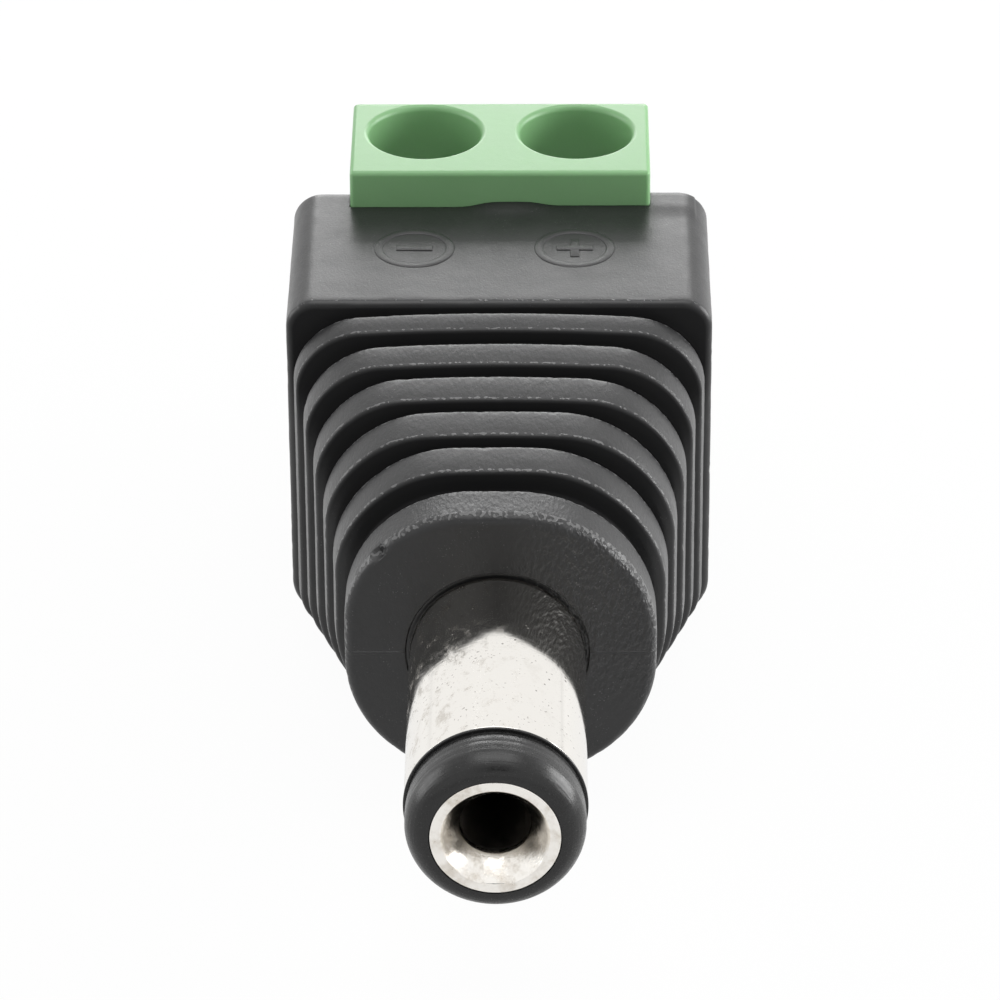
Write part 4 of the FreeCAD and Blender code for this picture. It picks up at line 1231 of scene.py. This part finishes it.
class PLUG_OT_clamp_screws(Operator):
    """Models the slotted clamp screws with their threads"""

    bl_idname = "plug.clamp_screws"
    bl_label = "Clamp screws"

    def execute(self, context):
        sizes = made_with().screws
        finish = plain_plate("plated_screw", made_with().colours.steel, 0.3)
        for name in SIDES:
            node = f"clamp_screw_{name}"
            low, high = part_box(node)
            at = Vector(((low.x + high.x) / 2, (low.y + high.y) / 2, 0))
            form, thread = screw_form(sizes, low, high, at), thread_form(sizes, low, high, at)
            cuts = [slot_form(sizes, high, at, SLOT_ANGLES[name])]
            new_piece(
                f"{node}_turning", form, finish, f"screw_{name}", [node], cuts, thread,
            )
        return {"FINISHED"}


class PLUG_OT_inner_finishes(Operator):
    """Gives the pieces that keep their CAD form their finishes"""

    bl_idname = "plug.inner_finishes"
    bl_label = "Inner finishes"

    def execute(self, context):
        colours = made_with().colours
        finishes = {
            "plated_steel": plain_plate("plated_cage", colours.steel, 0.32, (1, 0.06, 1)),
            "tinned_brass": plain_plate("tinned_brass", colours.tin, 0.3, (0.06, 1, 1)),
            "tinned_copper": plain_plate("tinned_copper", colours.tin, 0.28, (1, 0.05, 1)),
            "solder": plain_plate("bright_solder", colours.solder, 0.26),
            "pale_insulator": pale_insulator(),
        }
        for part in frame["record"]["subparts"]:
            node = frame["nodes"][part["node"]]
            if part["material_slot"] in finishes and not node.hide_render:
                for held in node.material_slots:
                    held.material = finishes[part["material_slot"]]
        return {"FINISHED"}


# Stage


LAMPS = {
    "rear_soft_box": {"at": (0, 0.095, 0.029), "size": (0.052, 0.031), "strength": 4.5},
    "top_soft_box": {"at": (0, 0.02, 0.25), "size": (0.2, 0.2), "strength": 1.95},
    "left_soft_box": {"at": (-0.16, 0.03, 0.04), "size": (0.12, 0.1), "strength": 2.6},
    "right_soft_box": {"at": (0.16, 0.03, 0.03), "size": (0.14, 0.12), "strength": 7.0},
}
LAMP_AIM = Vector((0, 8, 0)) * MM
FILL_LIGHT = 0.55
FLOOR_GLOW = {"seen": 0.96, "reflected": 0.85}
GLOW_FADES_IN = (-20, 5)
CARD_BLACK = (0.01, 0.01, 0.01)
FLOOR_REACH = 1.5
DARK_CARD_PLACE = Vector((1.5, -207, 154)) * MM
DARK_CARD_SIZE = Vector((70, 110, 1)) * MM
CAMERA_PLACE = Vector((1.47, -150.06, 94.39)) * MM
CAMERA_ANGLES = {"elevation": 30.635, "yaw": 0.521, "roll": -0.341}
CAMERA_LENS = 205.2


def soft_box(name, at, size, strength):
    """A rectangular lamp whose face is as bright as strength times white."""
    lamp = bpy.data.lights.new(name, "AREA")
    lamp.shape, lamp.size, lamp.size_y = "RECTANGLE", *size
    lamp.energy = strength * math.pi * size[0] * size[1]
    held = bpy.data.objects.new(name, lamp)
    bpy.context.scene.collection.objects.link(held)
    held.location = at
    held.rotation_euler = (LAMP_AIM - Vector(at)).to_track_quat("-Z", "Y").to_euler()
    held.visible_camera = False


def pale_floor():
    """A pale floor that the camera sees as nearly white, with the part's shadow on it."""
    finish = Finish("pale_floor")
    matt = finish.matt(made_with().colours.floor)
    glow = finish.node("ShaderNodeEmission", inputs={"Color": (1, 1, 1), "Strength": 1.0})
    reflected = finish.seen_by("Glossy") * finish.y.between(*GLOW_FADES_IN) * FLOOR_GLOW["reflected"]
    share = finish.seen_by("Camera") * FLOOR_GLOW["seen"] + reflected
    return finish.end(matt, glow, share)


def light_the_world():
    """White where the camera or a reflection sees the surroundings, and a softer grey as fill light."""
    world = bpy.data.worlds.new("studio")
    world.use_nodes = True
    shading = Shading(world.node_tree)
    direct = shading.seen_by("Camera").most(shading.seen_by("Glossy"))
    strength = direct.most(shading.seen_by("Transmission")) * (1 - FILL_LIGHT) + FILL_LIGHT
    ground = shading.node("ShaderNodeBackground", inputs={"Color": (1, 1, 1), "Strength": strength})
    shading.node("ShaderNodeOutputWorld", inputs={"Surface": ground})
    bpy.context.scene.world = world


def lay_floor():
    """A wide pale floor under the part's lowest point."""
    bm = bmesh.new()
    bmesh.ops.create_grid(bm, x_segments=8, y_segments=8, size=FLOOR_REACH)
    bmesh.ops.translate(bm, vec=(0, 0, cad_box[0].z), verts=bm.verts)
    floor = object_from("floor", bm)
    floor.data.materials.append(pale_floor())


def hang_dark_card():
    """A dark card behind the camera, which only reflections see, as the dark side of the room."""
    bm = bmesh.new()
    bmesh.ops.create_grid(bm, x_segments=1, y_segments=1, size=0.5)
    bmesh.ops.scale(bm, vec=DARK_CARD_SIZE, verts=bm.verts)
    turn = (LAMP_AIM - DARK_CARD_PLACE).to_track_quat("-Z", "Y").to_matrix()
    bmesh.ops.rotate(bm, matrix=turn, verts=bm.verts)
    bmesh.ops.translate(bm, vec=DARK_CARD_PLACE, verts=bm.verts)
    card = object_from("dark_card", bm)
    finish = Finish("dark_card")
    card.data.materials.append(finish.end(finish.matt(CARD_BLACK)))
    for way in ("camera", "diffuse", "transmission", "shadow"):
        setattr(card, f"visible_{way}", False)


def set_camera():
    """Stands the camera where the photograph was taken from."""
    elevation, yaw, roll = (math.radians(angle) for angle in CAMERA_ANGLES.values())
    level = math.cos(elevation)
    back = Vector((math.sin(yaw) * level, -math.cos(yaw) * level, math.sin(elevation)))
    right = Vector((math.cos(yaw), math.sin(yaw), 0))
    up = back.cross(right)
    turn = Matrix((right, up, back)).transposed() @ Matrix.Rotation(roll, 3, "Z")
    data = bpy.data.cameras.new("camera")
    data.sensor_width, data.lens = 36, CAMERA_LENS
    data.clip_start, data.clip_end = 0.005, 10
    camera = bpy.data.objects.new("camera", data)
    bpy.context.scene.collection.objects.link(camera)
    camera.matrix_world = Matrix.Translation(CAMERA_PLACE) @ turn.to_4x4()
    bpy.context.scene.camera = camera


class PLUG_OT_stage(Operator):
    """Sets the camera, the lamps, the floor, the dark card and the background"""

    bl_idname = "plug.stage"
    bl_label = "Stage"

    def execute(self, context):
        set_camera()
        light_the_world()
        lay_floor()
        hang_dark_card()
        for name, lamp in LAMPS.items():
            soft_box(name, **lamp)
        context.scene.view_settings.view_transform = "Standard"
        return {"FINISHED"}


OPERATORS = (
    PLUG_OT_housing, PLUG_OT_polarity_marks, PLUG_OT_terminal_block, PLUG_OT_barrel, PLUG_OT_clamp_screws,
    PLUG_OT_inner_finishes, PLUG_OT_stage,
)


class PLUG_PT_tools(Panel):
    """Lists what builds the plug"""

    bl_idname = "PLUG_PT_tools"
    bl_label = "Barrel Plug"
    bl_space_type = "VIEW_3D"
    bl_region_type = "UI"
    bl_category = "Barrel Plug"

    def draw(self, context):
        for operator in OPERATORS:
            self.layout.operator(operator.bl_idname)
        settings = context.scene.barrel_plug
        for group in (getattr(settings, name) for name in PlugSettings.__annotations__):
            box = self.layout.box()
            for name in group.__annotations__:
                box.prop(group, name)


GROUPS = (HousingSizes, MarkSizes, BlockSizes, MetalSizes, ScrewSizes, FinishColours, PlugSettings)
CLASSES = (*GROUPS, *OPERATORS, PLUG_PT_tools)


def register():
    for cls in CLASSES:
        bpy.utils.register_class(cls)
    bpy.types.Scene.barrel_plug = PointerProperty(type=PlugSettings)


def unregister():
    del bpy.types.Scene.barrel_plug
    for cls in reversed(CLASSES):
        bpy.utils.unregister_class(cls)


def main():
    register()
    for operator in OPERATORS:
        group, name = operator.bl_idname.split(".")
        getattr(getattr(bpy.ops, group), name)()


if __name__ == "__main__":
    main()
